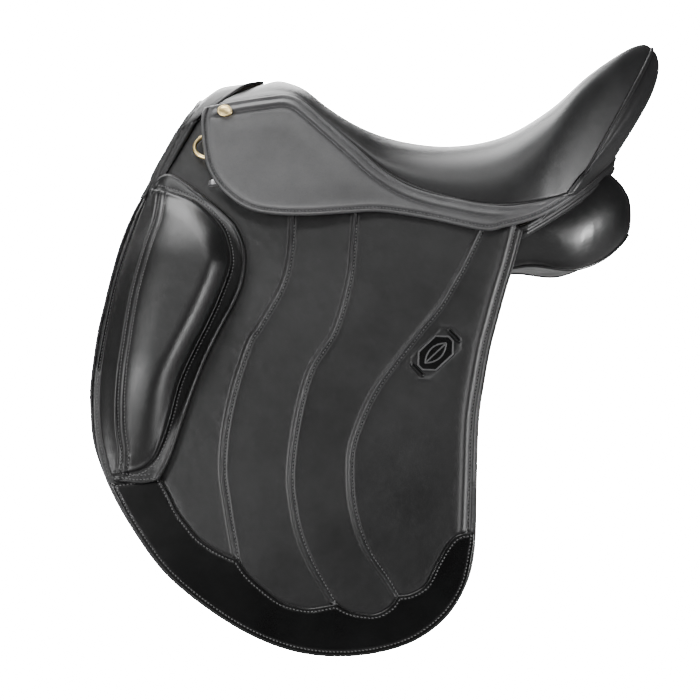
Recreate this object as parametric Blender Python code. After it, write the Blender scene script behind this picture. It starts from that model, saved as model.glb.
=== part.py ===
"""English dressage saddle, modelled as its separate pieces.

Frame: +X towards the cantle, +Y to the horse's right, +Z up. The origin is on the mid-plane, at the
level where the two panels bear on the horse's back. Sizes in this file are millimetres, which
finish_mesh() turns into metres. A piece's place is given by x, by h, its distance from the mid-plane,
and by z.
The left and right halves are mirror images: side is -1 for the horse's left and +1 for its right.
"""
import bpy
import bmesh
import math
from mathutils import Vector, Matrix, geometry

MM = 0.001
LEFT, RIGHT = -1, 1
SIDES = ((LEFT, "left"), (RIGHT, "right"))

# The flap's outer face: half-width at the top line and at the bottom line, both growing rearwards.
FLAP_TOP_Z = 115.0
FLAP_DROP = 475.0
TOP_HALF, TOP_FLARE = 126.6, 0.222
LOW_HALF, LOW_FLARE = 223.8, 0.03
FLAP_BOW = 0.00012
TAIL_START, TAIL_CURL = 80.0, 0.004

# Leather and filling thicknesses.
FLAP_THICK = 4.5
SKIRT_THICK = 4.0
SWEAT_THICK = 3.5
TRIM_THICK = 1.6
SWEAT_INSET = 20.0
COVER_THICK = 2.6
CREST_FRONT, CREST_LONG = 195.0, 27.0
FOAM_TOP, FOAM_LOW = 3.6, 21.0
WEB_TOP, WEB_THICK = 27.0, 2.5
STRAP_THICK, STRAP_WIDE = 4.0, 25.0
STRAP_INSET = 12.0
GAP = 0.4

# Fold lines, as x and z of their two ends, and the half gap left along them.
FLAP_FOLD = ((-262.0, 60.0), (125.0, 30.0))
SKIRT_FOLD = ((-209.0, 160.0), (-8.0, 56.0))
FOLD_GAP = 2.0
BLOCK_FOLD_GAP = 3.0
AXIS_CLEAR = 1.0

# The stirrup bar's middle, and its sizes along the bar (t) and outwards (n).
BAR_AT = (-160.0, 92.0)
BAR_HALF, BAR_BACK = 37.0, 30.0
BAR_ROD = 8.5
BAR_PLATE_IN, BAR_PLATE_OUT = -12.5, -9.5
BAR_ROD_IN = 1.0

CATCH_T = BAR_BACK + 5.6
DEE_AT = (-199.0, 127.0)
DEE_OFF = 6.0
NAIL_AT = (-186.0, 165.0)

# The girth straps: middle of each, the ends they hang between, and the sleeve around them.
STRAP_X = (("front", -79.5), ("rear", -39.5))
STRAP_MID_X = -59.5
STRAP_TOP, STRAP_END = 53.0, -322.0
STRAP_LEAN = 0.1
GUARD_X = (-103.0, -16.0)
GUARD_Z = (-150.0, -60.0)

# Outlines seen from the side, as (x, z).
FLAP_LINE = [(-243, 98), (-273, 53), (-292, -2), (-303, -60), (-308, -109), (-304, -158), (-290, -200),
             (-262, -247), (-226, -291), (-168, -333), (-114, -356), (-62, -361), (-10, -351), (24, -330),
             (46, -300), (56, -263), (59, -198), (61, -142), (73, -72), (87, -21), (105, 40)]
FLAP_ROOT = [(92, 52), (68, 56), (19, 66), (-30, 84), (-80, 122), (-125, 150), (-160, 154), (-203, 156)]
SWEAT_LINE = [(-259, 86), (-280, 54), (-297, -2), (-308, -60), (-313, -109), (-309, -160), (-294, -202),
              (-262, -238), (-226, -272), (-168, -311), (-110, -332), (-60, -338), (-15, -328), (15, -306),
              (33, -275), (40, -225), (44, -150), (56, -80), (68, -25), (80, 30), (40, 44), (-20, 56),
              (-90, 58), (-165, 54), (-225, 54)]
SKIRT_LINE = [(-206, 168), (-208, 150), (-204, 115), (-194, 92), (-177, 74), (-157, 62), (-132, 57),
              (-101, 56), (-64, 58), (-30, 59), (19, 51), (68, 40), (89, 43), (112, 49), (132, 57),
              (159, 76), (140, 73), (121, 68), (93, 64), (68, 66), (44, 71), (19, 77), (-5, 86), (-30, 102),
              (-55, 125), (-80, 148), (-101, 167), (-112, 175), (-125, 179), (-141, 178), (-166, 175),
              (-186, 172)]
BLOCK_LINE = [(-256, 84), (-239, 101), (-222, 91), (-202, 75), (-183, 59), (-170, 44), (-162, 22), (-164, -6),
              (-182, -47), (-204, -94), (-217, -131), (-232, -177), (-243, -200), (-262, -200), (-284, -198),
              (-300, -156), (-303, -109), (-298, -61), (-288, -4), (-272, 50)]
TRIM_LINE = [(-288, -203), (-262, -247), (-226, -291), (-168, -333), (-114, -356), (-62, -361), (-10, -351),
             (24, -330), (46, -300), (56, -263), (57, -247), (43, -249), (33, -258), (22, -276), (12, -295),
             (-15, -305), (-22, -315), (-48, -323), (-73, -314), (-108, -317), (-141, -301), (-167, -273),
             (-203, -254), (-225, -228), (-240, -204)]

# Seat sections from pommel to cantle: x at the middle and at the edge, half-width, edge height, middle
# height, flatness of the crown, sharpness of the roll, and depth of the dish.
SEAT = [(-147, -190, 63, 172, 197, 2.2, 0.7, 0), (-134, -160, 71, 176, 201, 2.2, 0.7, 0),
        (-120, -132, 79, 179, 198, 2.2, 0.65, 0), (-104, -110, 87, 174, 190, 2.3, 0.6, 0),
        (-82, -84, 102, 151, 173, 2.4, 0.55, 0), (-56, -56, 115, 126, 157, 2.6, 0.5, 0),
        (-29, -29, 126, 102, 146, 2.9, 0.5, 0), (0, 0, 136, 85, 139, 3.3, 0.5, 1),
        (34, 32, 145, 74, 136, 3.9, 0.5, 3), (70, 66, 153, 66, 139, 4.5, 0.5, 5),
        (106, 95, 157, 65, 151, 4.8, 0.5, 7), (150, 121, 155, 68, 179, 4.5, 0.52, 8),
        (190, 138, 150, 72, 213, 3.9, 0.6, 7), (222, 149, 146, 76, 233, 3.2, 0.74, 3),
        (240, 155, 143, 78, 238, 2.7, 0.88, 0), (249, 158, 141, 80, 235, 2.4, 1.0, 0)]

# Panel sections from front to rear: x, then the ring as (h, z).
PANEL = [(-166, [(50, 92), (68, 88), (90, 20), (108, -60), (100, -74), (88, -60), (66, 16), (50, 60)]),
         (-150, [(44, 98), (74, 96), (97, 0), (119, -88), (106, -102), (90, -84), (64, 0), (46, 60)]),
         (-110, [(39, 102), (84, 102), (107, 0), (127, -84), (113, -98), (92, -76), (64, 2), (41, 60)]),
         (-40, [(35, 82), (93, 82), (117, 0), (124, -36), (111, -48), (88, -26), (58, 5), (35, 30)]),
         (40, [(33, 72), (112, 70), (125, 34), (126, 2), (112, -16), (84, -8), (54, 6), (33, 20)]),
         (110, [(33, 78), (108, 78), (130, 44), (134, 18), (118, -3), (88, -3), (54, 4), (33, 16)]),
         (160, [(33, 90), (98, 88), (123, 58), (129, 34), (116, 7), (88, 2), (54, 6), (33, 18)]),
         (195, [(35, 96), (84, 94), (107, 72), (112, 50), (99, 23), (80, 15), (54, 16), (36, 28)]),
         (215, [(40, 88), (70, 87), (88, 71), (90, 52), (80, 35), (66, 29), (51, 32), (41, 46)]),
         (223, [(48, 73), (62, 73), (70, 65), (72, 55), (66, 46), (58, 43), (51, 47), (48, 58)])]


def clear_scene():
    for thing in list(bpy.data.objects):
        bpy.data.objects.remove(thing)


def smooth(value):
    """0 below 0, 1 above 1, an even ease between."""
    value = min(1.0, max(0.0, value))
    return value * value * (3 - 2 * value)


def flap_half(x, z):
    """Distance of the flap's outer face from the mid-plane."""
    drop = (FLAP_TOP_Z - z) / FLAP_DROP
    flare = drop * (1.35 - 0.35 * drop)
    top, low = TOP_HALF + TOP_FLARE * x, LOW_HALF + LOW_FLARE * x
    curl = TAIL_CURL * max(0.0, x - TAIL_START) ** 2
    return top + (low - top) * flare - FLAP_BOW * (x + 20) ** 2 - curl


def sweat_half(x, z):
    """Outer face of the sweat flap: straight down, and closer to the flap along the front edge."""
    drop = (FLAP_TOP_Z - z) / FLAP_DROP
    top, low = TOP_HALF + TOP_FLARE * x, LOW_HALF + LOW_FLARE * x
    lift = 11.0 * smooth((-230 - x) / 60)
    return top + (low - top) * drop - FLAP_BOW * (x + 20) ** 2 - SWEAT_INSET + lift


def skirt_lift(x):
    """Gap between the flap's outer face and the skirt's inner face."""
    return 2.0 + 10.0 * smooth((-5 - x) / 115)


def curve_through(points, steps, closed=True):
    """Centripetal-looking Catmull-Rom points through a short outline."""
    count = len(points)
    spans = count if closed else count - 1
    found = []
    for i in range(spans):
        quad = []
        for k in (-1, 0, 1, 2):
            j = (i + k) % count if closed else min(count - 1, max(0, i + k))
            quad.append(Vector(points[j]))
        for s in range(steps):
            t = s / steps
            a, b, c, d = quad
            found.append(0.5 * (2 * b + (c - a) * t + (2 * a - 5 * b + 4 * c - d) * t ** 2
                                + (3 * b - a - 3 * c + d) * t ** 3))
    if not closed:
        found.append(Vector(points[-1]))
    return found


def material(name, colour, roughness, metallic=0.0):
    made = bpy.data.materials.get(name)
    if made is None:
        made = bpy.data.materials.new(name)
        made.use_nodes = True
        shader = made.node_tree.nodes["Principled BSDF"]
        shader.inputs["Base Color"].default_value = (*colour, 1.0)
        shader.inputs["Roughness"].default_value = roughness
        shader.inputs["Metallic"].default_value = metallic
    return made


def finish_mesh(name, bm, look):
    """Links a bmesh in millimetres as an object in metres."""
    bmesh.ops.recalc_face_normals(bm, faces=bm.faces)
    for vert in bm.verts:
        vert.co *= MM
    mesh = bpy.data.meshes.new(name)
    bm.to_mesh(mesh)
    bm.free()
    mesh.shade_smooth()
    mesh.set_sharp_from_angle(angle=math.radians(40))
    thing = bpy.data.objects.new(name, mesh)
    bpy.context.scene.collection.objects.link(thing)
    thing.data.materials.append(material(*look))
    return thing


def hang_on_joint(name, place, things):
    """Parents the pieces that move together to an empty on their joint's axis, without moving them."""
    joint = bpy.data.objects.new(name, None)
    joint.location = place * MM
    joint.empty_display_size = 0.02
    bpy.context.scene.collection.objects.link(joint)
    for thing in things:
        thing.parent = joint
        thing.location = -joint.location
    return joint


def fold_axis(fold, side, face):
    """The two ends of a fold's axis: a straight line that clears the curved face it lies along."""
    (x0, z0), (x1, z1) = fold
    start, end = face(x0, z0), face(x1, z1)
    steps = 24
    bulge = 0.0
    for k in range(steps + 1):
        share = k / steps
        chord = start + (end - start) * share
        bulge = max(bulge, face(x0 + (x1 - x0) * share, z0 + (z1 - z0) * share) - chord)
    off = bulge + AXIS_CLEAR
    return Vector((x0, side * (start + off), z0)), Vector((x1, side * (end + off), z1))


def loft(rings):
    """A closed body through rings of equal count, capped at both ends."""
    bm = bmesh.new()
    rows = [[bm.verts.new(p) for p in ring] for ring in rings]
    count = len(rows[0])
    for near, far in zip(rows, rows[1:]):
        for i in range(count):
            j = (i + 1) % count
            bm.faces.new((near[i], near[j], far[j], far[i]))
    for row in (rows[0], rows[-1]):
        cap_ring(bm, row)
    return bm


def cap_ring(bm, row):
    """Closes a ring with triangles chosen in the ring's own plane."""
    points = [v.co for v in row]
    for a, b, c in geometry.tessellate_polygon([points]):
        bm.faces.new((row[a], row[b], row[c]))


def shell_between(outer, inner):
    """A closed skin between two grids of the same shape, whose edges are joined by a narrow wall."""
    bm = bmesh.new()
    top = [[bm.verts.new(p) for p in row] for row in outer]
    low = [[bm.verts.new(p) for p in row] for row in inner]
    for grid in (top, low):
        for r in range(len(grid) - 1):
            for c in range(len(grid[0]) - 1):
                bm.faces.new((grid[r][c], grid[r][c + 1], grid[r + 1][c + 1], grid[r + 1][c]))
    last_row, last_col = len(top) - 1, len(top[0]) - 1
    rim = [(0, c) for c in range(last_col)] + [(r, last_col) for r in range(last_row)]
    rim += [(last_row, c) for c in range(last_col, 0, -1)] + [(r, 0) for r in range(last_row, 0, -1)]
    for (r, c), (s, d) in zip(rim, rim[1:] + rim[:1]):
        bm.faces.new((top[r][c], top[s][d], low[s][d], low[r][c]))
    return bm


def cut_to_cells(bm, cell):
    """Cuts a flat outline lying in x and z along evenly spaced lines, so that it can be bent."""
    for axis in (0, 2):
        values = [v.co[axis] for v in bm.verts]
        low, high = min(values), max(values)
        cuts = int((high - low) / cell)
        for i in range(1, cuts + 1):
            at = low + (high - low) * i / (cuts + 1)
            normal = (1, 0, 0) if axis == 0 else (0, 0, 1)
            plane = (at, 0, 0) if axis == 0 else (0, 0, at)
            everything = bm.verts[:] + bm.edges[:] + bm.faces[:]
            bmesh.ops.bisect_plane(bm, geom=everything, plane_co=plane, plane_no=normal, dist=0.3)


def keep_beyond(bm, fold, gap, keep_low):
    """Keeps the part of a flat outline below (or above) a fold line, less half the gap."""
    (x0, z0), (x1, z1) = fold
    along = Vector((x1 - x0, 0, z1 - z0)).normalized()
    up = Vector((-along.z, 0, along.x))
    at = Vector((x0, 0, z0)) + up * (-gap if keep_low else gap)
    everything = bm.verts[:] + bm.edges[:] + bm.faces[:]
    bmesh.ops.bisect_plane(bm, geom=everything, plane_co=at, plane_no=up, dist=0.01,
                           clear_outer=keep_low, clear_inner=not keep_low)


def bent_sheet(outline, side, outer_face, thick, cell=55.0, steps=2, cut=None):
    """A sheet of even thickness whose outline is given in x and z and whose faces follow outer_face."""
    bm = bmesh.new()
    flat = [bm.verts.new((p.x, 0, p.y)) for p in curve_through(outline, steps)]
    bm.faces.new(flat)
    if cut:
        cut(bm)
    cut_to_cells(bm, cell)
    bmesh.ops.remove_doubles(bm, verts=bm.verts, dist=0.2)
    faces = bm.faces[:]
    pairs = {}
    for vert in bm.verts[:]:
        x, z = vert.co.x, vert.co.z
        deep = outer_face(x, z) - (thick(x, z) if callable(thick) else thick)
        pairs[vert] = bm.verts.new((x, side * deep, z))
        vert.co.y = side * outer_face(x, z)
    rim = [e for e in bm.edges if len(e.link_faces) == 1]
    for face in faces:
        bm.faces.new([pairs[v] for v in reversed(face.verts)])
    for edge in rim:
        a, b = edge.verts
        bm.faces.new((a, b, pairs[b], pairs[a]))
    bmesh.ops.triangulate(bm, faces=[f for f in bm.faces if len(f.verts) > 4])
    return bm


def local_frame(x, z, side, half=flap_half):
    """Origin and axes on the flap's face: t rearwards along it, n outwards, u up along it."""
    def point(px, pz):
        return Vector((px, side * half(px, pz), pz))
    t = (point(x + 1, z) - point(x - 1, z)).normalized()
    rise = (point(x, z + 1) - point(x, z - 1)).normalized()
    n = t.cross(rise).normalized() * -side
    n = n if n.y * side > 0 else -n
    u = (rise - t * rise.dot(t)).normalized()
    return point(x, z), t, n, u


def extruded(name, profile, heights, frame, look):
    """A profile in t and n, drawn out along u."""
    at, t, n, u = frame
    rings = [[at + t * a + n * b + u * h for a, b in profile] for h in heights]
    return finish_mesh(name, loft(rings), look)


def add_boolean(base, other, operation):
    step = base.modifiers.new(other.name, "BOOLEAN")
    step.operation = operation
    step.object = other
    other.hide_render = True
    other.display_type = "WIRE"


def cylinder(name, centre, axis, radius, length, sides, look):
    bm = bmesh.new()
    turn = Vector(axis).to_track_quat("Z", "Y").to_matrix().to_4x4()
    place = Matrix.Translation(centre) @ turn
    bmesh.ops.create_cone(bm, cap_ends=True, segments=sides, radius1=radius, radius2=radius, depth=length,
                          matrix=place)
    return finish_mesh(name, bm, look)


def turned(name, centre, axis, profile, sides, look):
    """A round body: profile is (radius, height along the axis) from one end to the other."""
    turn = Vector(axis).to_track_quat("Z", "Y").to_matrix()
    bm = bmesh.new()
    rings = []
    for radius, height in profile:
        ring = []
        for i in range(sides):
            a = 2 * math.pi * i / sides
            spot = Vector((radius * math.cos(a), radius * math.sin(a), height))
            ring.append(bm.verts.new(centre + turn @ spot))
        rings.append(ring)
    for near, far in zip(rings, rings[1:]):
        for i in range(sides):
            j = (i + 1) % sides
            bm.faces.new((near[i], near[j], far[j], far[i]))
    bm.faces.new(rings[0])
    bm.faces.new(rings[-1])
    return finish_mesh(name, bm, look)


LEATHER = ("black_leather", (0.018, 0.018, 0.02), 0.42)
SEAT_LEATHER = ("seat_leather", (0.03, 0.03, 0.032), 0.4)
TRIM_LEATHER = ("patent_trim", (0.008, 0.008, 0.009), 0.22)
STRAP_LEATHER = ("strap_leather", (0.02, 0.018, 0.017), 0.5)
TREE_WOOD = ("tree_wood", (0.42, 0.27, 0.14), 0.6)
STEEL = ("steel", (0.62, 0.62, 0.64), 0.3, 1.0)
BRASS = ("brass", (0.82, 0.62, 0.28), 0.25, 1.0)
WEBBING = ("webbing", (0.72, 0.66, 0.52), 0.85)
FOAM = ("foam", (0.78, 0.74, 0.62), 0.9)


def seat_point(row, u, depth):
    """A point of the seat: row is a SEAT entry, u runs from -1 to 1 across, depth is below the skin."""
    xc, xe, half, edge, middle, flat, roll, dish = row
    across = abs(u)
    rear = smooth((xc - 60) / 120)
    crest = smooth((xc - CREST_FRONT) / CREST_LONG)
    x = xc + (xe - xc) * across ** 2.5 - depth * (crest + (rear - crest) * across ** 3)
    top = edge + (middle - edge) * (1 - across ** flat) ** roll
    z = top - dish * (1 - across ** 2) ** 2 - depth * (1 - 0.5 * rear * across)
    return Vector((x, (half - depth) * u, z))


def seat_grid(depth, rows=SEAT, wide=8):
    grid = []
    for row in rows:
        line = []
        for i in range(-wide, wide + 1):
            u = math.sin(math.pi / 2 * i / wide)
            line.append(seat_point(row, u, depth))
        grid.append(line)
    return grid


def make_seat():
    finish_mesh("seat_cover", shell_between(seat_grid(0), seat_grid(COVER_THICK)), SEAT_LEATHER)
    foam_rows = SEAT[1:-1]
    finish_mesh("seat_foam", shell_between(seat_grid(FOAM_TOP, foam_rows), seat_grid(FOAM_LOW, foam_rows)),
                FOAM)


def rim_point(u):
    """Crest of the cantle, from the left tail of the seat over the top to the right."""
    a = abs(u)
    return Vector((158 + 91 * (1 - a ** 2.5), 141 * u, 80 + 155 * (1 - a ** 2.4)))


def hem_point(u):
    """Lower edge of the cantle cover."""
    a = abs(u)
    return Vector((113 + 94 * (1 - a ** 3.4), 152 * u, 42 + 81 * (1 - a ** 2.8)))


def cantle_grid(inset, stations, levels, low, high, drop):
    """Wall from low to high, as shares of the way from hem to crest. It is moved inwards by inset, and
    its top comes down by drop towards the tails."""
    grid = []
    for u in stations:
        line = []
        for k in range(levels + 1):
            crest = high - drop * smooth((abs(u) - 0.6) / 0.3)
            v = low + (crest - low) * k / levels
            p = hem_point(u).lerp(rim_point(u), v)
            bulge = 4.0 * math.sin(math.pi * v) * (1 - u * u)
            away = Vector((1.0 - 0.6 * u * u, 0.9 * u, 0)).normalized()
            line.append(p + away * (bulge - inset))
        grid.append(line)
    return grid


def make_cantle():
    stations = [math.sin(math.pi / 2 * i / 9) * 0.93 for i in range(-9, 10)]
    outer, inner = (cantle_grid(inset, stations, 4, 0.03, 0.94, 0.62) for inset in (-0.6 - COVER_THICK, -0.6))
    finish_mesh("cantle_cover", shell_between(outer, inner), SEAT_LEATHER)
    stations = [0.86 * i / 7 for i in range(-7, 8)]
    outer, inner = (cantle_grid(inset, stations, 3, 0.26, 0.54, 0.0) for inset in (30.0, 42.0))
    finish_mesh("tree_cantle", shell_between(outer, inner), TREE_WOOD)


def bar_sweep(path, half_wide, half_high):
    """A flat bar along a path of (x, y, z): wide across the mid-plane, high along z."""
    rings = []
    for p in path:
        x, y, z = p
        rings.append([Vector((x, y - half_wide, z - half_high)), Vector((x, y + half_wide, z - half_high)),
                      Vector((x, y + half_wide, z + half_high)), Vector((x, y - half_wide, z + half_high))])
    return loft(rings)


def arch(name, x_low, x_high, outer_inset, thick, look, low_z=-26.0, point_thin=0.0):
    """An upturned U across the saddle: its outer face keeps outer_inset inside the flap's face."""
    levels = [low_z] + [z for z in (5.0, 40.0, 75.0, 110.0, 140.0) if z > low_z]
    x = (x_low + x_high) / 2
    outer, inner = [], []
    for z in levels:
        thin = point_thin * smooth((20 - z) / 30)
        half = flap_half(x, z) - outer_inset
        outer.append((half - thin, z))
        inner.append((half - thick + thin * 0.2, z))
    top_out, top_in = outer[-1][0], inner[-1][0]
    for k in (1, 2, 3, 4):
        a = math.pi / 2 * k / 4
        rise = 164.0 - levels[-1]
        outer.append((top_out * math.cos(a), levels[-1] + rise * math.sin(a)))
        inner.append((top_in * math.cos(a), levels[-1] + (rise - thick) * math.sin(a)))
    grids = []
    for line in (outer, inner):
        ring = [(-h, z) for h, z in line[:-1]] + [(0, line[-1][1])] + [(h, z) for h, z in reversed(line[:-1])]
        grids.append([[Vector((px, h, z)) for h, z in ring] for px in (x_low, x_high)])
    finish_mesh(name, shell_between(*grids), look)


RAIL_PATH = [(-189.5, 50, 146), (-150, 52, 140), (-95, 58, 115), (-40, 64, 97), (30, 74, 91), (90, 86, 93),
             (142, 90, 99)]


def make_tree():
    arch("tree_head", -212.0, -191.0, 13.8, 9.0, TREE_WOOD, point_thin=1.5)
    arch("head_plate", -216.0, -212.5, 13.5, 9.0, STEEL, low_z=24.0)
    for side, word in SIDES:
        path = [(x, side * h, z) for x, h, z in RAIL_PATH]
        finish_mesh(f"tree_rail_{word}", bar_sweep(path, 10.0, 5.0), TREE_WOOD)


def seat_height(x, h):
    """Height of the seat's skin near the middle, found between the sections."""
    for near, far in zip(SEAT, SEAT[1:]):
        if near[0] <= x <= far[0]:
            share = (x - near[0]) / (far[0] - near[0])
            low = seat_point(near, min(1, h / near[2]), 0).z
            high = seat_point(far, min(1, h / far[2]), 0).z
            return low + (high - low) * share
    return SEAT[0][4]


GIRTH_FRONT = [(116, 58), (108, 80), (99, 98), (87, 112), (70, 123), (50, 126), (0, 129)]
GIRTH_REAR = [(124, 58), (121, 66), (107, 74), (98, 89), (78, 109), (50, 112), (0, 114)]


def make_webs():
    for side, word in SIDES:
        top, low = [], []
        for k in range(13):
            x = -143 + (150 + 143) * k / 12
            for grid, depth in ((top, WEB_TOP), (low, WEB_TOP + WEB_THICK)):
                grid.append([Vector((x, side * h, seat_height(x, h) - depth)) for h in (6.0, 20.0, 34.0)])
        finish_mesh(f"seat_web_{word}", shell_between(top, low), WEBBING)
    for word, x_mid, drop in (("front", STRAP_X[0][1], GIRTH_FRONT), ("rear", STRAP_X[1][1], GIRTH_REAR)):
        line = [(-h, z) for h, z in drop] + [(h, z) for h, z in reversed(drop[:-1])]
        under = offset_line(line, -2.0)
        edges = (x_mid - STRAP_WIDE / 2, x_mid + STRAP_WIDE / 2)
        rows = [[[Vector((x, h, z)) for h, z in edge] for x in edges] for edge in (line, under)]
        finish_mesh(f"girth_web_{word}", shell_between(*rows), WEBBING)


def offset_line(line, distance):
    """A line beside another in its plane, at the given distance to its left."""
    moved = []
    for i, (h, z) in enumerate(line):
        before, after = Vector(line[max(0, i - 1)]), Vector(line[min(len(line) - 1, i + 1)])
        along = (after - before).normalized()
        moved.append((h - along.y * distance, z + along.x * distance))
    return moved


def make_bar(side, word):
    frame = local_frame(*BAR_AT, side)
    rod_out = BAR_ROD_IN + BAR_ROD
    lift = BAR_ROD / 2
    front, web = -BAR_HALF - 7, -BAR_HALF + 2
    hairpin = [(front, BAR_PLATE_IN), (12.0, BAR_PLATE_IN), (12.0, BAR_PLATE_OUT), (web, BAR_PLATE_OUT),
               (web, BAR_ROD_IN), (BAR_BACK, BAR_ROD_IN), (BAR_BACK, rod_out), (front + 4, rod_out),
               (front, rod_out - 4)]
    at, t, n, u = frame
    bar = extruded(f"stirrup_bar_{word}", hairpin, (-lift, lift), frame, STEEL)
    plate = [(front + 1, BAR_PLATE_IN + 0.1), (11.0, BAR_PLATE_IN + 0.1), (11.0, BAR_PLATE_OUT - 0.1),
             (front + 1, BAR_PLATE_OUT - 0.1)]
    add_boolean(bar, extruded(f"bar_plate_{word}", plate, (-3.0, 21.0), frame, STEEL), "UNION")
    rivet_spots = ((-24.0, 13.0), (2.0, 13.0))
    for k, (ht, hu) in enumerate(rivet_spots):
        centre = at + t * ht + u * hu + n * (BAR_PLATE_IN + BAR_PLATE_OUT) / 2
        cutter = cylinder(f"bar_hole_{k}_{word}", centre, n, 2.9, BAR_PLATE_OUT - BAR_PLATE_IN + 4, 12, STEEL)
        add_boolean(bar, cutter, "DIFFERENCE")
    for place, (ht, hu) in zip(("front", "rear"), rivet_spots):
        centre = at + t * ht + u * hu
        profile = [(2.5, BAR_PLATE_IN), (2.5, BAR_PLATE_OUT + GAP), (4.6, BAR_PLATE_OUT + GAP),
                   (4.0, BAR_PLATE_OUT + 1.6), (2.0, BAR_PLATE_OUT + 2.2)]
        turned(f"bar_rivet_{place}_{word}", centre, n, profile, 12, STEEL)
    make_catch(side, word, frame)


def make_catch(side, word, frame):
    """The catch that closes the open end of the bar. It turns on a pin square to the flap."""
    at, t, n, u = frame
    pivot = at + t * CATCH_T
    tongue = [(CATCH_T - 3.4, 0.5), (CATCH_T + 15, 0.5), (CATCH_T + 17, 2.0), (CATCH_T + 17, 7.6),
              (CATCH_T + 13, 7.6), (CATCH_T + 11, 6.0), (CATCH_T - 3.4, 6.0)]
    catch = extruded(f"bar_catch_{word}", tongue, (-3.4, 3.4), frame, STEEL)
    add_boolean(catch, cylinder(f"catch_hole_{word}", pivot + n * 3.5, n, 1.9, 12.0, 12, STEEL), "DIFFERENCE")
    profile = [(1.6, -1.0), (1.6, 6.5), (2.6, 6.5), (2.2, 7.6)]
    turned(f"catch_pin_{word}", pivot, n, profile, 10, STEEL)
    hang_on_joint(f"catch_joint_{word}", pivot, (catch,))


def make_dee(side, word):
    at, t, n, u = local_frame(*DEE_AT, side)
    points = []
    for k in range(9):
        a = math.pi / 2 + math.pi * k / 8
        points.append(at + t * (18.0 * math.cos(a)) + u * (13.0 * math.sin(a)) + n * DEE_OFF)
    curve = bpy.data.curves.new(f"dee_ring_{word}", "CURVE")
    curve.dimensions = "3D"
    curve.bevel_depth = 2.0 * MM
    curve.bevel_resolution = 1
    spline = curve.splines.new("POLY")
    spline.points.add(len(points) - 1)
    for spot, p in zip(spline.points, points):
        spot.co = (*(p * MM), 1.0)
    spline.use_cyclic_u = True
    ring = bpy.data.objects.new(f"dee_ring_{word}", curve)
    bpy.context.scene.collection.objects.link(ring)
    curve.materials.append(material(*BRASS))
    hang_on_joint(f"dee_joint_{word}", at + n * DEE_OFF, (ring,))
    hook = [(24.0, 0.4), (24.0, 2.2), (4.4, 2.2), (4.4, 9.8), (-4.2, 9.8), (-4.2, 2.8), (-2.8, 2.8),
            (-2.8, 8.6), (2.9, 8.6), (2.9, 0.4)]
    extruded(f"dee_staple_{word}", hook, (-7.0, 7.0), (at, t, n, u), STRAP_LEATHER)


def make_nail(side, word):
    at, t, n, u = local_frame(*NAIL_AT, side)
    skin = skirt_lift(NAIL_AT[0]) + SKIRT_THICK
    profile = [(6.6, skin + GAP), (7.4, skin + 1.2), (6.4, skin + 2.4), (3.0, skin + 3.2)]
    turned(f"saddle_nail_{word}", at, n, profile, 20, BRASS)


def skirt_half(x, z):
    """Distance of the skirt's outer face from the mid-plane."""
    return flap_half(x, z) + skirt_lift(x) + SKIRT_THICK


def make_skirt(side, word):
    """The skirt above its fold, and the lobe below it that lifts to show the stirrup bar."""
    made = []
    for name, low in ((f"skirt_{word}", False), (f"skirt_lobe_{word}", True)):
        def cut(bm, low=low):
            keep_beyond(bm, SKIRT_FOLD, FOLD_GAP, low)
        bm = bent_sheet(SKIRT_LINE, side, skirt_half, SKIRT_THICK, 60.0, 2, cut)
        made.append(finish_mesh(name, bm, LEATHER))
    start, end = fold_axis(SKIRT_FOLD, side, skirt_half)
    hang_on_joint(f"skirt_joint_{word}", start.lerp(end, 0.5), made[1:])


def notch(bm):
    """Clears the flap's root where the stirrup bar passes through it."""
    x0, z0 = BAR_AT
    for face in bm.faces[:]:
        c = face.calc_center_median()
        if x0 - 48 < c.x < x0 + 56 and z0 - 12 < c.z < z0 + 34:
            bm.faces.remove(face)
    bmesh.ops.delete(bm, geom=[v for v in bm.verts if not v.link_faces], context="VERTS")


def cut_window(bm):
    """Lines around the bar's window, so that notch() can lift the window out."""
    x0, z0 = BAR_AT
    for at, normal in (((x0 - 48, 0, 0), (1, 0, 0)), ((x0 + 56, 0, 0), (1, 0, 0)),
                       ((0, 0, z0 - 12), (0, 0, 1)), ((0, 0, z0 + 34), (0, 0, 1))):
        everything = bm.verts[:] + bm.edges[:] + bm.faces[:]
        bmesh.ops.bisect_plane(bm, geom=everything, plane_co=at, plane_no=normal, dist=0.3)
    notch(bm)


def make_flap(side, word):
    def root_cut(bm):
        keep_beyond(bm, FLAP_FOLD, FOLD_GAP, False)
        cut_window(bm)

    def lower_cut(bm):
        keep_beyond(bm, FLAP_FOLD, FOLD_GAP, True)

    def trim_face(x, z):
        return flap_half(x, z) + GAP + TRIM_THICK

    outline = FLAP_LINE + FLAP_ROOT
    finish_mesh(f"flap_top_{word}", bent_sheet(outline, side, flap_half, FLAP_THICK, 60.0, 2, root_cut),
                LEATHER)
    flap = finish_mesh(f"flap_{word}", bent_sheet(outline, side, flap_half, FLAP_THICK, 60.0, 2, lower_cut),
                       LEATHER)
    trim = finish_mesh(f"flap_trim_{word}", bent_sheet(TRIM_LINE, side, trim_face, TRIM_THICK, 70.0, 1),
                       TRIM_LEATHER)
    finish_mesh(f"sweat_flap_{word}", bent_sheet(SWEAT_LINE, side, sweat_half, SWEAT_THICK, 80.0, 1), LEATHER)
    block = make_block(side, word)
    start, end = fold_axis(FLAP_FOLD, side, flap_half)
    hang_on_joint(f"flap_joint_{word}", start.lerp(end, 0.5), (flap, trim, block))


def block_depth(x, z):
    """How far the knee block stands out: full along its spine, low at its band and at both ends."""
    along = smooth((104 - z) / 120) * smooth((z + 215) / 130)
    spine = -222.0 - 0.22 * (40 - z) * smooth(-z / 60)
    across = max(0.0, 1.0 - ((x - spine) / 62.0) ** 2) ** 0.6
    return 5.0 + 33.0 * along * across


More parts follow.
